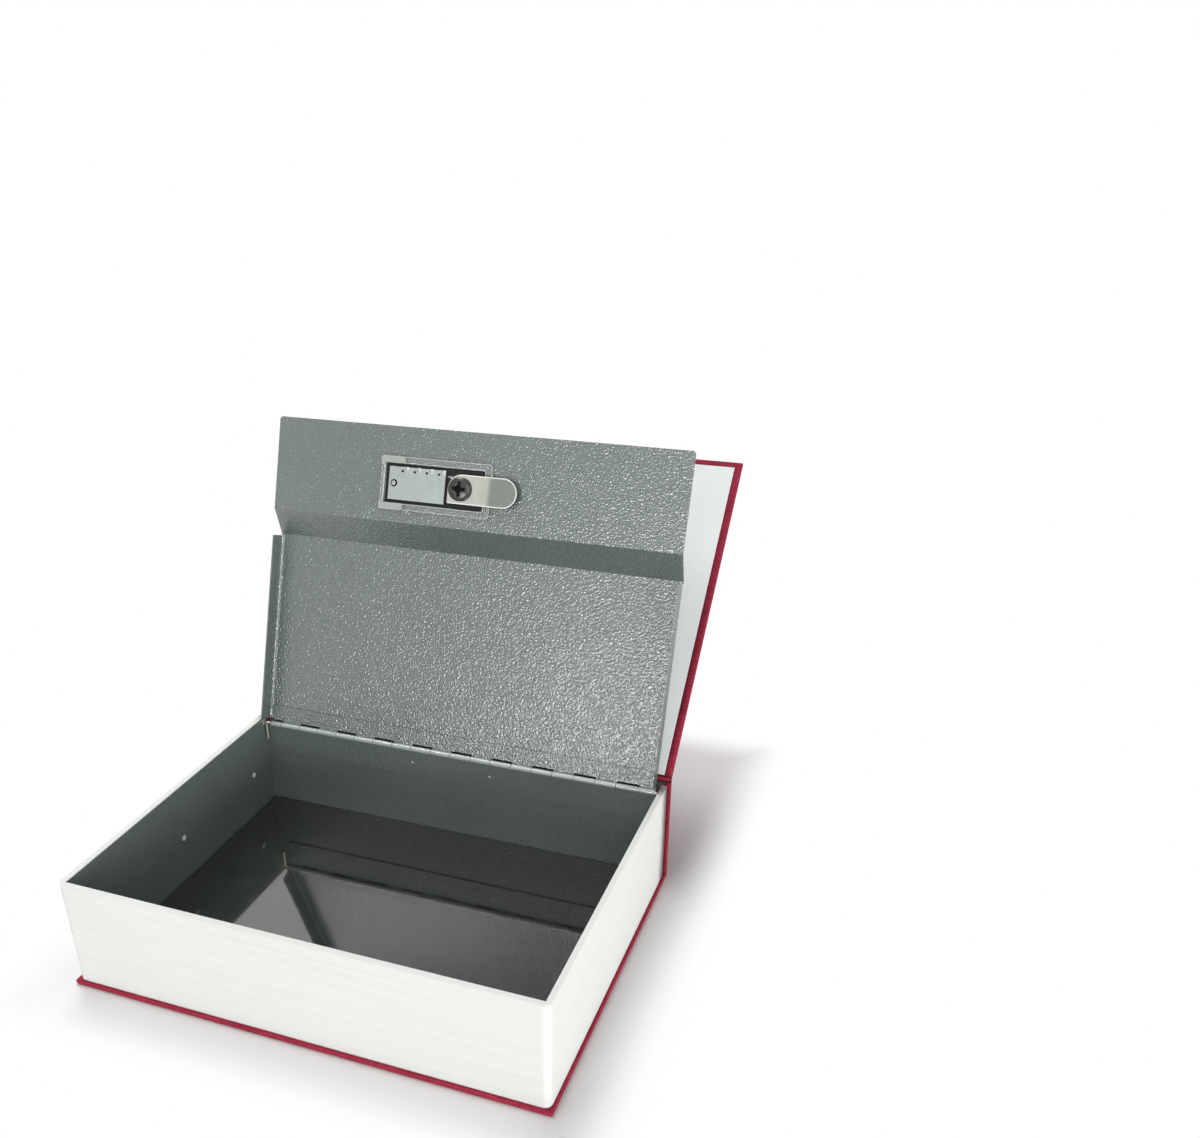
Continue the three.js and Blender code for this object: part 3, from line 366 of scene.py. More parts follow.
def dark_screw():
    """Black-zinc screw, worn bright where the driver has slipped, with painted shade darkening its
    cross recess.
    """
    finish = Finish("dark_screw")
    across, along, _ = finish.parts(finish.place(*LID))
    across, along = (across - PIVOT_X * MM).size(), (along - LOCK_Y * MM).size()
    reach = across.higher(along)
    slot = across + along - reach
    in_slot, in_reach = slot.between(0.7 * MM, 1.1 * MM), reach.between(3.9 * MM, 4.4 * MM)
    # Painted shade: inside the cross recess the head takes the darkest colour
    cross = (1 - in_slot) * (1 - in_reach)
    wear = finish.noise(finish.place(), 900.0, 3.0, 0.7).between(0.55, 0.72) * (1 - cross)
    wear_and_painted_recess_shade = wear * 0.5 + (1 - cross) * 0.5
    finish.set(base_color=finish.mix(wear_and_painted_recess_shade, srgb(16, 16, 17), srgb(98, 95, 92)))
    finish.set(metallic=0.85, roughness=0.26 + wear * 0.12)
    finish.bump(wear, 0.04)
    return finish.material


def cover_foil():
    """Pale pink-silver foil, broken up a little by the cloth under it."""
    finish = Finish("cover_foil")
    breaks = finish.noise(finish.place(*COVER, (900.0, 900.0, 900.0)), 1.0, 3.0)
    worn = breaks.between(0.6, 0.72)
    finish.set(base_color=finish.mix(worn, srgb(226, 208, 208), srgb(186, 92, 112)))
    finish.set(metallic=0.45 - worn * 0.3, roughness=0.34 + worn * 0.3)
    finish.bump(breaks, 0.05)
    return finish.material


def figure_paint():
    """White filling of the dials' figures, a little uneven."""
    finish = Finish("white_figures")
    uneven = finish.noise(finish.place(), 1800.0, 2.0)
    finish.set(base_color=finish.mix(uneven, srgb(200, 200, 196), srgb(240, 240, 236)))
    finish.set(roughness=0.5 + uneven * 0.1)
    return finish.material


# Painted light: the box has the same powder coat as the lid, set a shade lighter so that its shaded
# inside comes out brighter
coat = hammered_coat("coat_on_box_painted_lighter", srgb(100, 111, 106), srgb(121, 132, 127))
lid_coat = hammered_coat("coat_on_lid", srgb(91, 102, 99), srgb(111, 122, 119), *LID)
gloss = gloss_floor()
pages = page_edges()
cloth = book_cloth("cloth_on_case")
cover_cloth = book_cloth("cloth_on_cover", *COVER)
lining = plain_paper("endpaper_back", srgb(228, 232, 231))
# Painted light: the front endpaper is the same paper as the back one, set lighter so that it comes
# out bright behind the open lid
cover_lining_painted_lighter = plain_paper("endpaper_front_painted_lighter", srgb(245, 249, 248), *COVER)
board = grey_board()
zinc = plated("zinc_plate", srgb(176, 184, 181), 0.3)
pin_zinc = plated("bright_pin", srgb(190, 193, 186), 0.12)
tongue_zinc = latch_zinc()
wire = plated("hinge_wire", srgb(238, 234, 218), 0.3, 0.0)
plastic = black_plastic()
clear = clear_plastic()
nylon = white_nylon()
screw_black = dark_screw()
foil = cover_foil()
paint = figure_paint()


# Places: lid and cover points are written as if both were closed, about their own axes
def turned(points, turn, y, z):
    """Turns points back about an axis along X and moves them to it, giving millimetres."""
    cos, sin = math.cos(turn), math.sin(turn)
    out = np.array(points, float)
    out[..., 1] = points[..., 1] * cos + points[..., 2] * sin + y
    out[..., 2] = points[..., 2] * cos - points[..., 1] * sin + z
    return out


def on_box(points):
    return points


def at_hinge(points):
    return turned(points, 0.0, HINGE_Y, HINGE_Z)


def on_lid(points):
    return turned(points, LID_TURN, HINGE_Y, HINGE_Z)


def on_cover(points):
    return turned(points, COVER_TURN, JOINT_Y, JOINT_Z)


# Surfaces on grids
def grid(rows, cols, round_rows=False, round_cols=False):
    """Four-cornered faces between neighbouring points of a grid; a round side joins up."""
    i = np.arange(rows if round_rows else rows - 1)
    j = np.arange(cols if round_cols else cols - 1)
    i, j = np.meshgrid(i, j, indexing="ij")
    here, below = i * cols, ((i + 1) % rows) * cols
    after = (j + 1) % cols
    return np.stack([here + j, here + after, below + after, below + j], -1).reshape(-1, 4)


def swept(profile, stations, closed=True):
    """Carries a Y and Z profile along X: point (i, j) is station i with profile point j."""
    rows, cols = len(stations), len(profile)
    points = np.empty((rows, cols, 3))
    points[..., 0] = np.asarray(stations)[:, None]
    points[..., 1:] = profile
    faces = [grid(rows, cols, round_cols=closed)]
    if closed:
        ring = np.arange(cols)[None]
        faces += [ring, ring + (rows - 1) * cols]
    return points.reshape(-1, 3), faces


def around(count):
    """Angles of evenly spaced points round a circle."""
    return np.arange(count) * 2 * math.pi / count


def lattice(x, y, z):
    """Points of a grid from its X, Y and Z, where any of them may be a single row or column."""
    return np.stack(np.broadcast_arrays(x, y, z), -1)


def lathed(profile, sides):
    """Turns a radius and height profile about Z: the angle is the grid's second direction."""
    radius, height = np.asarray(profile, float).T[..., None]
    angle = around(sides)
    points = lattice(radius * np.cos(angle), radius * np.sin(angle), height)
    return points.reshape(-1, 3), [grid(len(radius), sides, round_cols=True)]


def bent(corners, radius, steps=8):
    """A line through corners, with each inner corner rounded by an arc that touches both sides."""
    corners = np.asarray(corners, float)
    line = [corners[:1]]
    for before, corner, after in zip(corners, corners[1:], corners[2:]):
        into = (corner - before) / np.linalg.norm(corner - before)
        out = (after - corner) / np.linalg.norm(after - corner)
        turn = math.atan2(into[0] * out[1] - into[1] * out[0], into @ out)
        start = corner - into * radius * math.tan(abs(turn) / 2)
        side = math.copysign(radius, turn)
        angle = np.linspace(0, turn, steps + 1)[:, None]
        normal = np.array([-into[1], into[0]])
        line.append(start + side * (normal - normal * np.cos(angle) + into * np.sin(angle)))
    line.append(corners[-1:])
    return np.concatenate(line)


def mesh_of(name, blocks, place):
    """One mesh from blocks of points in millimetres and faces, merged where points meet."""
    points, faces, start = [], [], 0
    for block_points, block_faces in blocks:
        points.append(block_points)
        for some in block_faces:
            faces += (np.asarray(some) + start).tolist()
        start += len(block_points)
    mesh = bpy.data.meshes.new(name)
    mesh.from_pydata((place(np.concatenate(points)) * MM).tolist(), [], faces)
    tidy(mesh)
    return mesh


# How far apart points still count as one, in metres, and what counts as flat or as an edge
DOUBLED, DEGENERATE = 2e-6, 1e-6
FLAT_ANGLE, EDGE_ANGLE = math.radians(0.6), math.radians(35.0)


def tidy(mesh, flat_angle=None):
    """Merges doubled points, joins flat faces where asked, and points every face outwards."""
    work = bmesh.new()
    work.from_mesh(mesh)
    bmesh.ops.remove_doubles(work, verts=work.verts, dist=DOUBLED)
    bmesh.ops.dissolve_degenerate(work, edges=work.edges, dist=DEGENERATE)
    if flat_angle:
        bmesh.ops.dissolve_limit(work, angle_limit=flat_angle, verts=work.verts, edges=work.edges)
    bmesh.ops.recalc_face_normals(work, faces=work.faces)
    for face in work.faces:
        face.smooth = True
    work.to_mesh(mesh)
    work.free()


def add(name, mesh, body, material, nodes=()):
    """Puts a finished mesh in the scene, on its body, with its finish and the nodes it stands for."""
    piece = bpy.data.objects.new(name, mesh)
    bpy.context.scene.collection.objects.link(piece)
    mesh.materials.append(material)
    if body:
        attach(piece, body)
    if nodes:
        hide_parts(*nodes)
    return piece


def thicken(piece, thickness, offset=0.0):
    """Gives a sheet its thickness: to both sides alike, or behind it where offset is -1."""
    made = piece.modifiers.new("thickness", "SOLIDIFY")
    made.thickness = thickness * MM
    made.offset = offset
    made.use_even_offset = True
    return piece


def keep_flats(piece):
    """Keeps the flat faces flat to the light."""
    piece.modifiers.new("shading", "WEIGHTED_NORMAL").weight = 50
    return piece


def soften(piece, width, segments=2):
    """Rounds the sharp edges and keeps the flat faces flat to the light."""
    edge = piece.modifiers.new("edges", "BEVEL")
    edge.width = width * MM
    edge.segments = segments
    edge.limit_method = "ANGLE"
    edge.angle_limit = EDGE_ANGLE
    return keep_flats(piece)


def from_node(name, node, width, body, material):
    """A merged copy of a CAD node's own shape with its edges rounded."""
    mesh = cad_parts[node].data.copy()
    mesh.name = name
    mesh.materials.clear()
    tidy(mesh, FLAT_ANGLE)
    return soften(add(name, mesh, body, material, [node]), width)


def dress(material, *nodes):
    """Gives CAD nodes that stay as they are their finish."""
    for node in nodes:
        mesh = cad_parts[node].data
        mesh.materials.clear()
        mesh.materials.append(material)


# Steel box, its floor, brackets and rivets
from_node("folded_box", "box_tray", 0.2, "box", coat)
from_node("floor_sheet", "floor_plate", 0.25, "box", gloss)

REST_WALL, REST_TOP = -94.7, 50.2
REST_DROP, REST_SHELF, REST_BEND = 9, 7, 2
REST_X, REST_HALF = 102, 8
for side, label in ((-1, "left"), (1, "right")):
    corners = [
        (REST_WALL, REST_TOP - REST_DROP),
        (REST_WALL, REST_TOP),
        (REST_WALL + REST_SHELF, REST_TOP),
    ]
    ends = [side * REST_X - REST_HALF, side * REST_X + REST_HALF]
    angle_strip = swept(bent(corners, REST_BEND), ends, closed=False)
    mesh = mesh_of(f"rest_bracket_{label}", [angle_strip], on_box)
    bracket = add(mesh.name, mesh, "box", coat, [f"lid_rest_{label}"])
    soften(thicken(bracket, STEEL), 0.15)

# Page shell: its outer faces, its inner faces against the box, and its height
PAGE_X, PAGE_FRONT, PAGE_BACK = 131, -98.5, 94.9
SHELL_X, SHELL_FRONT = 128, -95.2
PAGE_LOW, PAGE_TOP = 2.8, 63.4
PAGE_CORNER = 4
LEG_END, FRONT_HALF = -90, 122
LEG_POINTS, CORNER_POINTS, FRONT_POINTS = 16, 9, 22

RIVET_PROFILE = [
    (0, -0.9), (0.55, -0.87), (1.05, -0.75), (1.45, -0.55), (1.72, -0.3), (1.8, -0.14),
    (1.74, -0.1), (1.1, -0.1), (1.1, 1.9), (0.9, 2.2), (0, 2.2),
]
RIVET_Z = 31.1
SIDE_RIVET_Y, SIDE_RIVET_PITCH, FRONT_RIVET_PITCH = -1.85, 75, 88


def rivet(label, number, out, place):
    """Snap rivet: a dome turned about Z, then laid along the wall's outward direction."""
    points, faces = lathed(RIVET_PROFILE, 32)
    out = np.array(out, float)
    across = np.array([0, 0, 1.0])
    third = np.cross(out, across)
    points = points @ np.stack([across, third, out]) + np.array(place, float)
    mesh = mesh_of(f"snap_rivet_{label}_{number}", [(points, faces)], on_box)
    add(mesh.name, mesh, "box", nylon, [f"page_rivet_{label}_{number}"])


for number, step in enumerate((-1, 0, 1), 1):
    side_y = SIDE_RIVET_Y - step * SIDE_RIVET_PITCH
    rivet("left", number, (-1, 0, 0), (-SHELL_X, side_y, RIVET_Z))
    rivet("right", number, (1, 0, 0), (SHELL_X, side_y, RIVET_Z))
    rivet("front", number, (0, -1, 0), (step * FRONT_RIVET_PITCH, SHELL_FRONT, RIVET_Z))


def page_outline():
    """Outer and inner line of the page shell: legs, round front corners, and the mouth inside."""
    quarter = np.linspace(0, math.pi / 2, CORNER_POINTS)
    middle_x, middle_y = PAGE_X - PAGE_CORNER, PAGE_FRONT + PAGE_CORNER
    cos, sin = PAGE_CORNER * np.cos(quarter), PAGE_CORNER * np.sin(quarter)
    leg = np.linspace(PAGE_BACK, LEG_END, LEG_POINTS)
    front = np.linspace(-FRONT_HALF, FRONT_HALF, FRONT_POINTS)
    outer = np.concatenate([
        np.stack([0 * leg - PAGE_X, leg], -1),
        np.stack([-middle_x - cos, middle_y - sin], -1),
        np.stack([front, 0 * front + PAGE_FRONT], -1),
        np.stack([middle_x + sin, middle_y - cos], -1),
        np.stack([0 * leg + PAGE_X, leg[::-1]], -1),
    ])
    inner = outer.copy()
    inner[:, 0] = np.clip(inner[:, 0], -SHELL_X, SHELL_X)
    inner[:, 1] = np.maximum(inner[:, 1], SHELL_FRONT)
    side_points = LEG_POINTS + CORNER_POINTS
    inner[:side_points, 0] = -SHELL_X
    inner[side_points + FRONT_POINTS:, 0] = SHELL_X
    return outer, inner


def leaf_grooves(level):
    """Depth of the shallow grooves between the leaves, fading out at the shell's two ends."""
    start, span, width, fade = 4, 58, 0.42, 1.2
    rng = np.random.default_rng(7)
    marks = np.cumsum(rng.uniform(1.4, 3.6, 60))
    marks = marks[marks < span] + start
    depth = rng.uniform(0.02, 0.08, len(marks))
    groove = (depth * np.exp(-(((level[:, None] - marks) / width) ** 2))).sum(1)
    low_end, high_end = (level - PAGE_LOW) / fade, (PAGE_TOP - level) / fade
    return groove * (np.clip(low_end, 0, 1) * np.clip(high_end, 0, 1))


def page_block():
    """Page shell: a profile of shallow leaves up the outside, over the lip and down the inside,
    written as shares of the wall's thickness and heights."""
    outer, inner = page_outline()
    level = np.linspace(PAGE_LOW, PAGE_TOP, 150)
    lip = np.array([
        (0.02, PAGE_TOP), (0.5, PAGE_TOP), (0.97, PAGE_TOP), (1.0, 63.35), (1.0, 62.8),
        (0.7, 62.8), (0.7, PAGE_LOW),
    ])
    shares = np.concatenate([leaf_grooves(level) / (PAGE_X - SHELL_X), lip[:, 0]])[:, None]
    heights = np.concatenate([level, lip[:, 1]])
    flat = outer[:, None] * (1 - shares) + inner[:, None] * shares
    points = lattice(flat[..., 0], flat[..., 1], heights)
    rows, cols = points.shape[:2]
    ring = np.arange(cols)[None]
    faces = [grid(rows, cols, round_cols=True), ring, ring + (rows - 1) * cols]
    return points.reshape(-1, 3), faces


def carve(piece, low, high):
    """Cuts a block out of a piece, and keeps the result as its mesh."""
    corners = np.array(list(itertools.product(*zip(low, high))))
    faces = np.array([
        [0, 1, 3, 2], [4, 6, 7, 5], [0, 4, 5, 1], [2, 3, 7, 6], [0, 2, 6, 4], [1, 5, 7, 3],
    ])
    tool = bpy.data.objects.new("cutter", mesh_of("cutter", [(corners, [faces])], on_box))
    bpy.context.scene.collection.objects.link(tool)
    cut = piece.modifiers.new("cut", "BOOLEAN")
    cut.operation, cut.solver, cut.object = "DIFFERENCE", "EXACT", tool
    bpy.context.view_layer.update()
    seen = piece.evaluated_get(bpy.context.evaluated_depsgraph_get())
    mesh = bpy.data.meshes.new_from_object(seen)
    piece.modifiers.clear()
    piece.data = mesh
    bpy.data.objects.remove(tool)


# The pocket that the turned tongue enters is cut out of the shell's front wall
POCKET_LOW, POCKET_HIGH = (-17, -97.9, 44.9), (7.4, -95.0, 47.9)
mesh = mesh_of("page_edges", [page_block()], on_box)
shell = add("page_edges", mesh, "box", pages, ["page_block_shell"])
carve(shell, POCKET_LOW, POCKET_HIGH)
keep_flats(shell)


# Piano hinge: a flat leaf whose edge rolls round the wire, one knuckle at a time
HINGE_START, HINGE_END = -122.2, 125.4
FIRST_KNUCKLE, KNUCKLE_PITCH, KNUCKLES, KNUCKLE_GAP = -121.4, 12.8, 20, 0.2
ROLL, ROLL_RADIUS = math.radians(296), 1.3
SLOT_REACH = 2.6
LEAF_THICKNESS = 0.6
BOX_LEAF_WIDTH, LID_LEAF_WIDTH, LID_LEAF_END = 20, 11.5, 122.8
WELD_PROFILE = [(0, 0.14), (0.35, 0.12), (0.6, 0.05), (0.75, -0.05), (0, -0.05)]
WELD_X, WELD_Y, WELD_Z = (-26.0, 24.3), 1.0, -10.3
WIRE_HALF, WIRE_DROP, WIRE_BEND, WIRE_RADIUS, WIRE_SIDES = 126.5, 11.5, 1.6, 0.8, 16


def knuckles():
    """The ends of each leaf's sections along X: the first is the box's."""
    middle = FIRST_KNUCKLE + KNUCKLE_PITCH * np.arange(KNUCKLES)
    low = np.maximum(middle - KNUCKLE_PITCH / 2, HINGE_START)
    high = np.minimum(middle + KNUCKLE_PITCH / 2, HINGE_END)
    spans = np.stack([low, high], -1)[low < HINGE_END]
    return spans[::2], spans[1::2]


def leaf_line(width):
    """Centre line of the lid's leaf: straight to the wire, then round it by ROLL."""
    straight = np.array([(y, ROLL_RADIUS) for y in (-width, -SLOT_REACH, -0.01)])
    angle = math.pi / 2 - np.linspace(0, ROLL, 26)
    return np.concatenate([straight, ROLL_RADIUS * np.stack([np.cos(angle), np.sin(angle)], -1)])


def leaf(own, line, end):
    """A leaf along X from its centre line, with the other leaf's knuckles slotted out."""
    knuckle_ends = [own[:, 0] + KNUCKLE_GAP, own[:, 1] - KNUCKLE_GAP]
    edges = np.unique(np.concatenate([*knuckle_ends, [HINGE_START, end]]))
    edges = edges[(edges >= HINGE_START) & (edges <= HINGE_END)]
    points, _ = swept(line, edges, closed=False)
    faces = grid(len(edges), len(line))
    rows, cols = np.divmod(np.arange(len(faces)), len(line) - 1)
    middle = (edges[rows] + edges[rows + 1]) / 2
    in_own = ((middle[:, None] > own[:, 0]) & (middle[:, None] < own[:, 1])).any(1)
    plate = (cols == 0) & (middle < end)
    return points, [faces[plate | ((cols > 0) & in_own)]]


def weld_spot(x):
    """Low pale pip where the leaf is fixed to the wall, facing the inside of the box."""
    points, faces = lathed(WELD_PROFILE, 20)
    return np.stack([points[:, 0] + x, WELD_Y - points[:, 2], points[:, 1] + WELD_Z], -1), faces


def wire_tube():
    """Wire along X with both ends bent down: a circle carried along the bent line."""
    corners = [(-WIRE_HALF, -WIRE_DROP), (-WIRE_HALF, 0), (WIRE_HALF, 0), (WIRE_HALF, -WIRE_DROP)]
    line = bent(corners, WIRE_BEND, 10)
    step = np.gradient(line, axis=0)
    step /= np.linalg.norm(step, axis=1)[:, None]
    normal = np.stack([-step[:, 1], step[:, 0]], -1)
    angle = around(WIRE_SIDES)
    out = WIRE_RADIUS * np.cos(angle)
    x, z = line[:, :1] + normal[:, :1] * out, line[:, 1:] + normal[:, 1:] * out
    points = lattice(x, WIRE_RADIUS * np.sin(angle), z)
    ring = np.arange(WIRE_SIDES)[None]
    rows = len(line)
    faces = [grid(rows, WIRE_SIDES, round_cols=True), ring, ring + (rows - 1) * WIRE_SIDES]
    return points.reshape(-1, 3), faces


box_knuckles, lid_knuckles = knuckles()
box_line, lid_line = leaf_line(BOX_LEAF_WIDTH)[:, ::-1], leaf_line(LID_LEAF_WIDTH)
mesh = mesh_of("hinge_leaf_on_box", [leaf(box_knuckles, box_line, HINGE_END)], at_hinge)
box_leaf = add(mesh.name, mesh, "box", coat, ["hinge_leaf_box"])
soften(thicken(box_leaf, LEAF_THICKNESS), 0.1)
mesh = mesh_of("hinge_weld_spots", [weld_spot(x) for x in WELD_X], at_hinge)
add(mesh.name, mesh, "box", nylon)
mesh = mesh_of("hinge_leaf_on_lid", [leaf(lid_knuckles, lid_line, LID_LEAF_END)], on_lid)
lid_leaf = add(mesh.name, mesh, "lid", lid_coat, ["hinge_leaf_lid"])
soften(thicken(lid_leaf, LEAF_THICKNESS), 0.1)
mesh = mesh_of("hinge_wire", [wire_tube()], at_hinge)
soften(add("hinge_wire", mesh, "box", wire, ["hinge_pin"]), 0.15)


# Lid: one folded sheet, measured from the hinge towards the fore edge
PANEL_Z, BAND_Z, LID_END = 2.1, -8.4, 186.3
JOGGLE_START, JOGGLE_END = 117.8, 132.6
PANEL_HALF, BAND_HALF = 122.9, 125.3
FLANGE_START, FLANGE_END = 3.4, 116.6
FLANGE_BEND, FLANGE_TOP, FLANGE_LOW = 2, 0.1, (-4.0, -8.8)
HOLE_START, HOLE_END, HOLE_LEFT, HOLE_RIGHT = 143.4, 165.4, -52.8, 8.8
BAND_CORNER = 2


def lid_section():
    """The panel, joggle and band as one bent line, with points where the hole and flanges end."""
    corners = [
        (-SLOT_REACH, PANEL_Z), (-JOGGLE_START, PANEL_Z), (-JOGGLE_END, BAND_Z),
        (-LID_END, BAND_Z),
    ]
    line = bent(corners, FLANGE_BEND)
    round_end = LID_END - BAND_CORNER + BAND_CORNER * np.sin(np.linspace(0, math.pi / 2, 7))
    stops = [FLANGE_START, 30, 60, 90, FLANGE_END, HOLE_START, HOLE_END, *round_end]
    y = -np.unique(np.round(np.concatenate([-line[:, 0], stops]), 4))
    return y, np.interp(-y, -line[:, 0], line[:, 1])


def lid_sheet():
    """The section carried across X round the lock's hole, with side flanges bent down from it."""
    y, z = lid_section()
    x = np.array([-PANEL_HALF, -90, HOLE_LEFT, -20, HOLE_RIGHT, 50, 90, PANEL_HALF])
    faces = grid(len(y), len(x))
    rows, cols = np.divmod(np.arange(len(faces)), len(x) - 1)
    mid_y, mid_x = (y[rows] + y[rows + 1]) / 2, (x[cols] + x[cols + 1]) / 2
    hole = (mid_y < -HOLE_START) & (mid_y > -HOLE_END) & (mid_x > HOLE_LEFT) & (mid_x < HOLE_RIGHT)
    blocks = [(lattice(x, y[:, None], z[:, None]).reshape(-1, 3), [faces[~hole]])]
    folded_y = y[(y <= -FLANGE_START) & (y >= -FLANGE_END)]
    bend = np.linspace(0, math.pi / 2, 9)
    wing_x = np.concatenate([PANEL_HALF + FLANGE_BEND * np.sin(bend), [PANEL_HALF + FLANGE_BEND] * 2])
    wing_z = np.concatenate([FLANGE_TOP + FLANGE_BEND * np.cos(bend), FLANGE_LOW])
    band_y, band_z = y[y <= -FLANGE_END], z[y <= -FLANGE_END]
    past = np.clip(-band_y - (LID_END - BAND_CORNER), 0, BAND_CORNER)
    band_edge = BAND_HALF - (BAND_CORNER - np.sqrt(BAND_CORNER ** 2 - past ** 2))
    for side in (-1, 1):
        wing = lattice(side * wing_x, folded_y[:, None], wing_z)
        blocks.append((wing.reshape(-1, 3), [grid(len(folded_y), len(wing_x))]))
        across = np.stack([0 * band_y + side * PANEL_HALF, side * band_edge], -1)
        strip = lattice(across, band_y[:, None], band_z[:, None])
        blocks.append((strip.reshape(-1, 3), [grid(len(band_y), 2)]))
    return blocks


mesh = mesh_of("folded_lid", lid_sheet(), on_lid)
lid_piece = add("folded_lid", mesh, "lid", lid_coat, ["lid_panel"])
soften(thicken(lid_piece, STEEL), 0.18)

# Lock: moulded and pressed pieces that follow their CAD shapes
from_node("lock_moulding", "lock_housing", 0.3, "lid", plastic)
from_node("clear_frame", "retaining_frame", 0.4, "lid", clear)
from_node("dial_cover_plate", "lock_back_plate", 0.15, "lid", zinc)
from_node("reset_button", "reset_pin", 0.12, "pin", pin_zinc)
from_node("turn_knob", "knob", 0.35, "latch", plastic)
from_node("cam_tongue", "cam_latch", 0.4, "latch", tongue_zinc)
from_node("screw_washer", "latch_washer", 0.15, "latch", nylon)
dress(zinc, "dial_axle", "slide_bar", "detent_spring", *(f"dial_cam_{i}" for i in (1, 2, 3, 4)))
dress(nylon, "slide_eccentric")

# Surfaces that the lock's CAD shapes don't have: pressed tabs, moulded beads, and the screw's dome
TAB_BASE, TAB_TOP, TAB_RISE = -10.3, -10.48, 0.3
TAB_X, TAB_HALF, TAB_Y, TAB_LENGTH = 2.6, 1.5, -9.5, 3.0
BEAD_RADIUS, BEAD_SIDES = 0.26, 10
OUTER_BEAD, WINDOW_BEAD = (-55.1, 12.7, 14.8, 1.3), (-53.9, 9.1, 11.6, 0.8)
SCREW_SIDES = 96
SCREW_RIM_AND_SHANK = np.array([
    (6.5, -14.1), (6.6, -13.8), (6.6, -13.3), (6.4, -13.1), (1.5, -13.1), (1.5, -7.0),
    (1.2, -6.7), (0, -6.7),
])
DOME_RADIUS, DOME_BASE, DOME_HEIGHT = 7.0, -13.55, 1.72
CROSS_HALF, CROSS_REACH, CROSS_DEPTH = 1.0, 4.3, 1.5
WELL_RADIUS, WELL_DEPTH = 2.3, 1.8


def plate_tabs():
    """Four low pressed tabs on the plate's fore edge: a cosine rise across and a slope along."""
    across = np.linspace(-1, 1, 15)[:, None]
    along = np.linspace(0, 1, 11)
    blocks = []
    for x in DIAL_X:
        rise = TAB_RISE * np.cos(across * math.pi / 2) * (1 - along)
        tab_x, tab_y = x + TAB_X + TAB_HALF * across, LOCK_Y + TAB_Y + TAB_LENGTH * along
        for z in (TAB_TOP - rise, 0 * rise + TAB_BASE):
            blocks.append((lattice(tab_x, tab_y, z).reshape(-1, 3), [grid(*rise.shape)]))
    return blocks


def edge_bead(left, right, half, radius):
    """Moulded bead round a rounded rectangle on the clear frame: a circle carried along it."""
    turns = np.linspace(0, math.pi / 2, 7)
    low, high = LOCK_Y - half + radius, LOCK_Y + half - radius
    left, right = left + radius, right - radius
    corners = [(right, high), (left, high), (left, low), (right, low)]
    angle = np.concatenate([turns + quarter * math.pi / 2 for quarter in range(4)])
    out = np.stack([np.cos(angle), np.sin(angle)], -1)
    line = np.repeat(corners, len(turns), axis=0) + radius * out
    bead = around(BEAD_SIDES)
    flat = line[:, None] + BEAD_RADIUS * np.cos(bead)[:, None] * out[:, None]
    points = lattice(flat[..., 0], flat[..., 1], FRAME_FACE + BEAD_RADIUS * np.sin(bead))
    return points.reshape(-1, 3), [grid(len(line), BEAD_SIDES, True, True)]


def screw_surface():
    """Domed head with a cross recess, then the shank, as one surface turned about the pivot."""
    head = np.concatenate([np.linspace(0, 4.8, 48), np.linspace(4.95, 6.2, 8)])
    dome = DOME_BASE - DOME_HEIGHT * np.sqrt(1 - (head / DOME_RADIUS) ** 2)
    radius = np.concatenate([head, SCREW_RIM_AND_SHANK[:, 0]])[:, None]
    height = np.concatenate([dome, SCREW_RIM_AND_SHANK[:, 1]])[:, None]
    angle = around(SCREW_SIDES)
    x, y = radius * np.cos(angle), radius * np.sin(angle)
    slot = np.minimum(np.abs(x), np.abs(y))
    reach = np.maximum(np.abs(x), np.abs(y))
    arm = np.clip((CROSS_HALF - slot) / 0.2, 0, 1) * np.clip((CROSS_REACH - reach) / 0.6, 0, 1)
    well = np.clip((WELL_RADIUS - radius) / 0.7, 0, 1)
    sunk = np.maximum(arm * (CROSS_DEPTH - 0.2 * reach), well * WELL_DEPTH)
    sunk[len(head):] = 0
    points = lattice(x + PIVOT_X, y + LOCK_Y, height + sunk)
    return points.reshape(-1, 3), [grid(len(radius), SCREW_SIDES, round_cols=True)]


mesh = mesh_of("plate_tabs", plate_tabs(), on_lid)
add("plate_tabs", mesh, "lid", zinc)
beads = [edge_bead(*OUTER_BEAD), edge_bead(*WINDOW_BEAD)]
add("frame_beads", mesh_of("frame_beads", beads, on_lid), "lid", clear)
mesh = mesh_of("cross_screw", [screw_surface()], on_lid)
keep_flats(add("cross_screw", mesh, "latch", screw_black, ["latch_screw"]))

# Number rings, with their figures
FIGURE_SIZE, FIGURE_RELIEF = 3.2, 0.03
RING_FLAT = 5.35


def figure(text):
    """Points and triangles of one figure with a little relief, lying flat and centred."""
    curve = bpy.data.curves.new("figure", "FONT")
    curve.body, curve.size, curve.extrude = text, FIGURE_SIZE, FIGURE_RELIEF
    curve.align_x, curve.align_y = "CENTER", "CENTER"
    holder = bpy.data.objects.new("figure", curve)
    bpy.context.scene.collection.objects.link(holder)
    bpy.context.view_layer.update()
    seen = holder.evaluated_get(bpy.context.evaluated_depsgraph_get())
    mesh = bpy.data.meshes.new_from_object(seen)
    mesh.calc_loop_triangles()
    points = np.zeros(len(mesh.vertices) * 3)
    mesh.vertices.foreach_get("co", points)
    faces = np.zeros(len(mesh.loop_triangles) * 3, int)
    mesh.loop_triangles.foreach_get("vertices", faces)
    bpy.data.objects.remove(holder)
    return points.reshape(-1, 3), faces.reshape(-1, 3)


figures = [figure(str(number)) for number in range(10)]


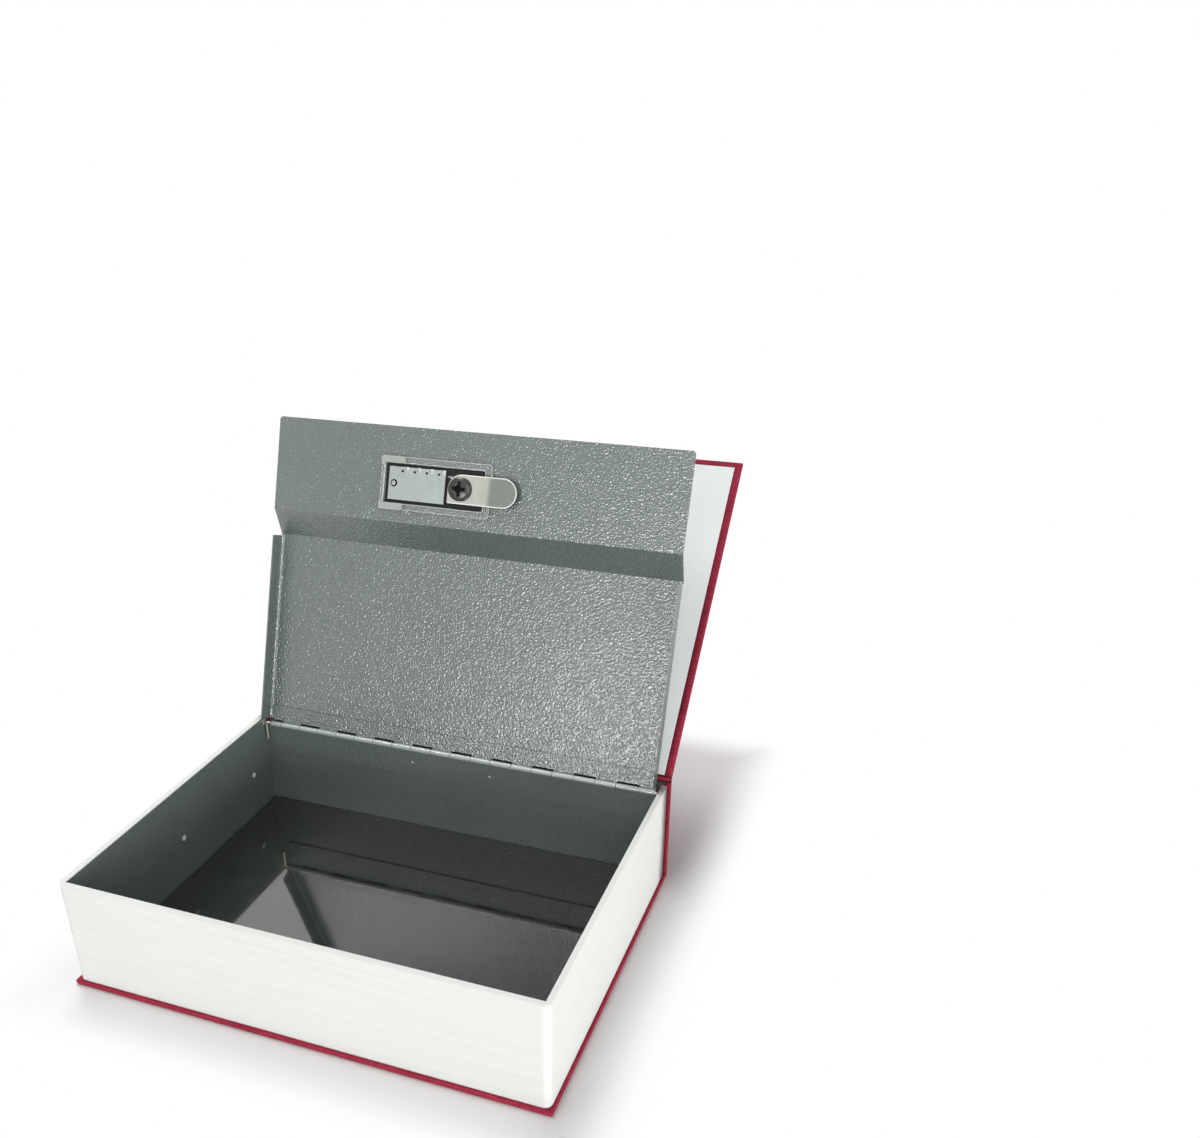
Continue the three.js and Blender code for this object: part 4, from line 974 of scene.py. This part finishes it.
def dial_figures(x):
    """Ten figures round a dial: each is laid on its flat, upright to a reader at the fore edge."""
    blocks = []
    for number, (points, faces) in enumerate(figures):
        angle = math.pi / 2 + number * math.pi / 5
        out = np.array([math.cos(angle), math.sin(angle)])
        up = np.array([out[1], -out[0]])
        middle = np.array([LOCK_Y, DIAL_Z]) + out * RING_FLAT
        place = middle + points[:, 1:2] * up + points[:, 2:3] * out
        blocks.append((np.column_stack([points[:, 0] + x, place]), [faces]))
    return blocks


for index, x in enumerate(DIAL_X, 1):
    from_node(f"number_ring_{index}", f"dial_{index}", 0.12, f"number_{index}", plastic)
    mesh = mesh_of(f"ring_figures_{index}", dial_figures(x), on_lid)
    add(mesh.name, mesh, f"number_{index}", paint)


# Book case: boards and paper keep their CAD shapes, and cloth is folded round the boards
dress(board, "back_board", "spine_board", "front_board")
dress(lining, "back_endpaper")
dress(cover_lining_painted_lighter, "front_endpaper")
dress(foil, "foil_frame_outer", "foil_frame_inner", "foil_ornament")

BOOK_HALF = 132.5
BOARD_EDGE, END_TURN_IN, FORE_TURN_IN = 2.7, 4.2, 3.6
CLOTH_THICKNESS, CLOTH_ROUNDING = 0.28, 0.75
CASE_PROFILE = [
    (-100, 0), (97.3, 0), (100, 0), (100, 2.7), (100, 64.3), (97.3, 63.85), (97.3, 2.7), (-96.4, 2.7),
    (-100, 2.7),
]
CASE_ENDS = [[0, 1, 6, 7, 8], [1, 2, 3, 6], [3, 4, 5, 6]]
COVER_PROFILE = [(-199.1, -1.8), (-199.1, 0.9), (-1.2, 0.9), (-1.2, -1.8), (-195.5, -1.8)]
COVER_ENDS = [[0, 1, 2, 3, 4]]


def folded_cloth(profile, ends, windows, open_side):
    """Cloth over a board: the board's outline carried along X, its ends closed, and no cloth on
    the windows, which are the profile's sides whose middle the paper covers."""
    margin = BOOK_HALF - END_TURN_IN
    stations = [-BOOK_HALF, -margin, margin, BOOK_HALF]
    points, _ = swept(profile, stations, closed=False)
    faces = grid(len(stations), len(profile), round_cols=True)
    rows, cols = np.divmod(np.arange(len(faces)), len(profile))
    gone = (cols == open_side) | (np.isin(cols, windows) & (rows == 1))
    last = 3 * len(profile)
    closing = [np.array([end]) + start for end in ends for start in (0, last)]
    return points, [faces[~gone], *closing]


def clothe(piece):
    """Gives folded cloth its round corners and its thickness, inwards from the outline."""
    return thicken(soften(piece, CLOTH_ROUNDING, 4), CLOTH_THICKNESS, -1.0)


mesh = mesh_of("case_cloth", [folded_cloth(CASE_PROFILE, CASE_ENDS, [5, 6], 4)], on_box)
case_cloth = clothe(add("case_cloth", mesh, "box", cloth, ["back_spine_cloth"]))
mesh = mesh_of("cover_cloth", [folded_cloth(COVER_PROFILE, COVER_ENDS, [3], 2)], on_cover)
front = clothe(add("cover_cloth", mesh, "cover", cover_cloth, ["front_cloth"]))

# Cloth joint: a roll on the joint's axis, and a flap from it to each side
STRIP_ANGLE = math.radians(-22.7)
STRIP_REACH, CLOTH_ROLL, FLAP_THICKNESS = 0.95, 0.85, 0.25
SPINE_EDGE, COVER_EDGE = (99.55, 64.08), (100.5, 66.25)
JOINT_STATIONS = np.linspace(-132.4, 132.4, 12)

angle = around(20)
circle = np.stack([JOINT_Y + CLOTH_ROLL * np.cos(angle), JOINT_Z + CLOTH_ROLL * np.sin(angle)], -1)
mesh = mesh_of("joint_roll", [swept(circle, JOINT_STATIONS)], on_box)
roll = soften(add("joint_roll", mesh, "strip", cloth, ["cloth_joint"]), 0.2)


def joint_flap(name, low, high):
    """Strip of cloth along X between two points of the joint's section, on no body."""
    low, high = np.array(low), np.array(high)
    line = low + (high - low) * np.linspace(0, 1, 9)[:, None]
    mesh = mesh_of(name, [swept(line, JOINT_STATIONS, closed=False)], on_box)
    flap = add(name, mesh, None, cloth)
    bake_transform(flap)
    return thicken(flap, FLAP_THICKNESS)


strip_point = (
    JOINT_Y + STRIP_REACH * math.cos(STRIP_ANGLE),
    JOINT_Z + STRIP_REACH * math.sin(STRIP_ANGLE),
)
spine_flap = joint_flap("joint_flap_spine", SPINE_EDGE, strip_point)
cover_flap = joint_flap("joint_flap_cover", strip_point, COVER_EDGE)


# Stage: pale floor, soft lamps and the photograph's camera, in metres
FOOTPRINT, FOOTPRINT_Y = (0.1325, 0.17), 0.07
FLOOR_HALF, FLOOR_DROP, FLOOR_FADE = 4.0, 0.0004, 0.04
SEEN_BY = ("Is Camera Ray", "Is Glossy Ray", "Is Transmission Ray")
WHITE, PALE, SOFT_LIGHT = (1, 1, 1, 1), (0.9, 0.9, 0.9, 1), (0.2, 0.2, 0.2, 1)
CAMERA_PLACE, CAMERA_SHIFT = (0.2647, -0.46792, 0.41354), (0.0769, 0.1435)
CAMERA_RIGHT, CAMERA_UP = (0.9302, 0.36651, -0.0200), (-0.16242, 0.45987, 0.87301)


def stage_floor():
    """Pale floor that keeps the shadow near the safe and fades to the backdrop's white beyond."""
    half = FLOOR_HALF
    corners = [(-half, -half, 0), (half, -half, 0), (half, half, 0), (-half, half, 0)]
    mesh = bpy.data.meshes.new("studio_floor")
    mesh.from_pydata(corners, [], [(0, 1, 2, 3)])
    floor = bpy.data.objects.new("studio_floor", mesh)
    bpy.context.scene.collection.objects.link(floor)
    floor.location.z = -FLOOR_DROP
    finish = Finish("studio_floor", base_color=PALE, roughness=0.9, specular_ior_level=0.1)
    across, along, _ = finish.parts(finish.place())
    past = (across.size() - FOOTPRINT[0]).higher((along - FOOTPRINT_Y).size() - FOOTPRINT[1])
    rays = finish.node("ShaderNodeLightPath", {}, {})
    camera, mirror, glass = (Tone(finish, rays.outputs[kind]) for kind in SEEN_BY)
    seen = camera.higher(mirror).higher(glass)
    clear_of_safe = past.between(0.0, FLOOR_FADE)
    finish.lay_over(seen * clear_of_safe, "ShaderNodeEmission", {"Color": WHITE})
    mesh.materials.append(finish.material)


def studio_world():
    """White to the camera and in reflections, and a softer white as light on the safe."""
    world = bpy.data.worlds.new("studio")
    bpy.context.scene.world = world
    world.use_nodes = True
    tree = world.node_tree
    tree.nodes.clear()
    rays = tree.nodes.new("ShaderNodeLightPath")
    seen = rays.outputs[SEEN_BY[0]]
    for kind in SEEN_BY[1:]:
        either = tree.nodes.new("ShaderNodeMath")
        either.operation = "MAXIMUM"
        tree.links.new(seen, either.inputs[0])
        tree.links.new(rays.outputs[kind], either.inputs[1])
        seen = either.outputs[0]
    shade = tree.nodes.new("ShaderNodeMix")
    shade.data_type = "RGBA"
    tree.links.new(seen, shade.inputs[0])
    shade.inputs[6].default_value = SOFT_LIGHT
    shade.inputs[7].default_value = WHITE
    light = tree.nodes.new("ShaderNodeBackground")
    tree.links.new(shade.outputs[2], light.inputs["Color"])
    output = tree.nodes.new("ShaderNodeOutputWorld")
    tree.links.new(light.outputs[0], output.inputs["Surface"])


def lamp(name, place, target, size, power):
    """Soft rectangular lamp: its sides in metres and its power in watts."""
    data = bpy.data.lights.new(name, "AREA")
    data.shape, data.size, data.size_y = "RECTANGLE", size[0], size[1]
    data.energy = power
    light = bpy.data.objects.new(name, data)
    bpy.context.scene.collection.objects.link(light)
    light.location = place
    aim = Vector(target) - Vector(place)
    light.rotation_euler = aim.to_track_quat("-Z", "Y").to_euler()


def studio_camera():
    """The photograph's camera, from its right and up directions and its place."""
    right, up = Vector(CAMERA_RIGHT).normalized(), Vector(CAMERA_UP).normalized()
    axes = (right, up, right.cross(up), Vector(CAMERA_PLACE))
    data = bpy.data.cameras.new("camera")
    data.lens, data.sensor_width, data.sensor_fit = 36.0, 36.0, "HORIZONTAL"
    data.shift_x, data.shift_y = CAMERA_SHIFT
    data.clip_start, data.clip_end = 0.02, 30
    camera = bpy.data.objects.new("camera", data)
    bpy.context.scene.collection.objects.link(camera)
    camera.matrix_world = Matrix((*zip(*axes), (0, 0, 0, 1)))
    bpy.context.scene.camera = camera


stage_floor()
studio_world()
lamp("back_lamp", (-0.5, 0.7, 1.6), (0, 0, 0.05), (0.7, 0.7), 15)
lamp("fill_lamp", (0.75, -1.4, 1.15), (0, 0, 0.05), (1.0, 0.8), 6.5)
lamp("front_lamp", (-0.2, -1.87, 0.28), (0.05, 0.1, 0.12), (0.4, 0.3), 8)
lamp("top_lamp", (-0.5, -0.3, 1.25), (0, 0.05, 0.1), (0.7, 0.15), 3.5)
lamp("right_lamp", (1.65, -0.5, 0.17), (0, 0, 0.05), (0.8, 0.25), 13.5)
studio_camera()
bpy.context.scene.view_settings.view_transform = "Standard"
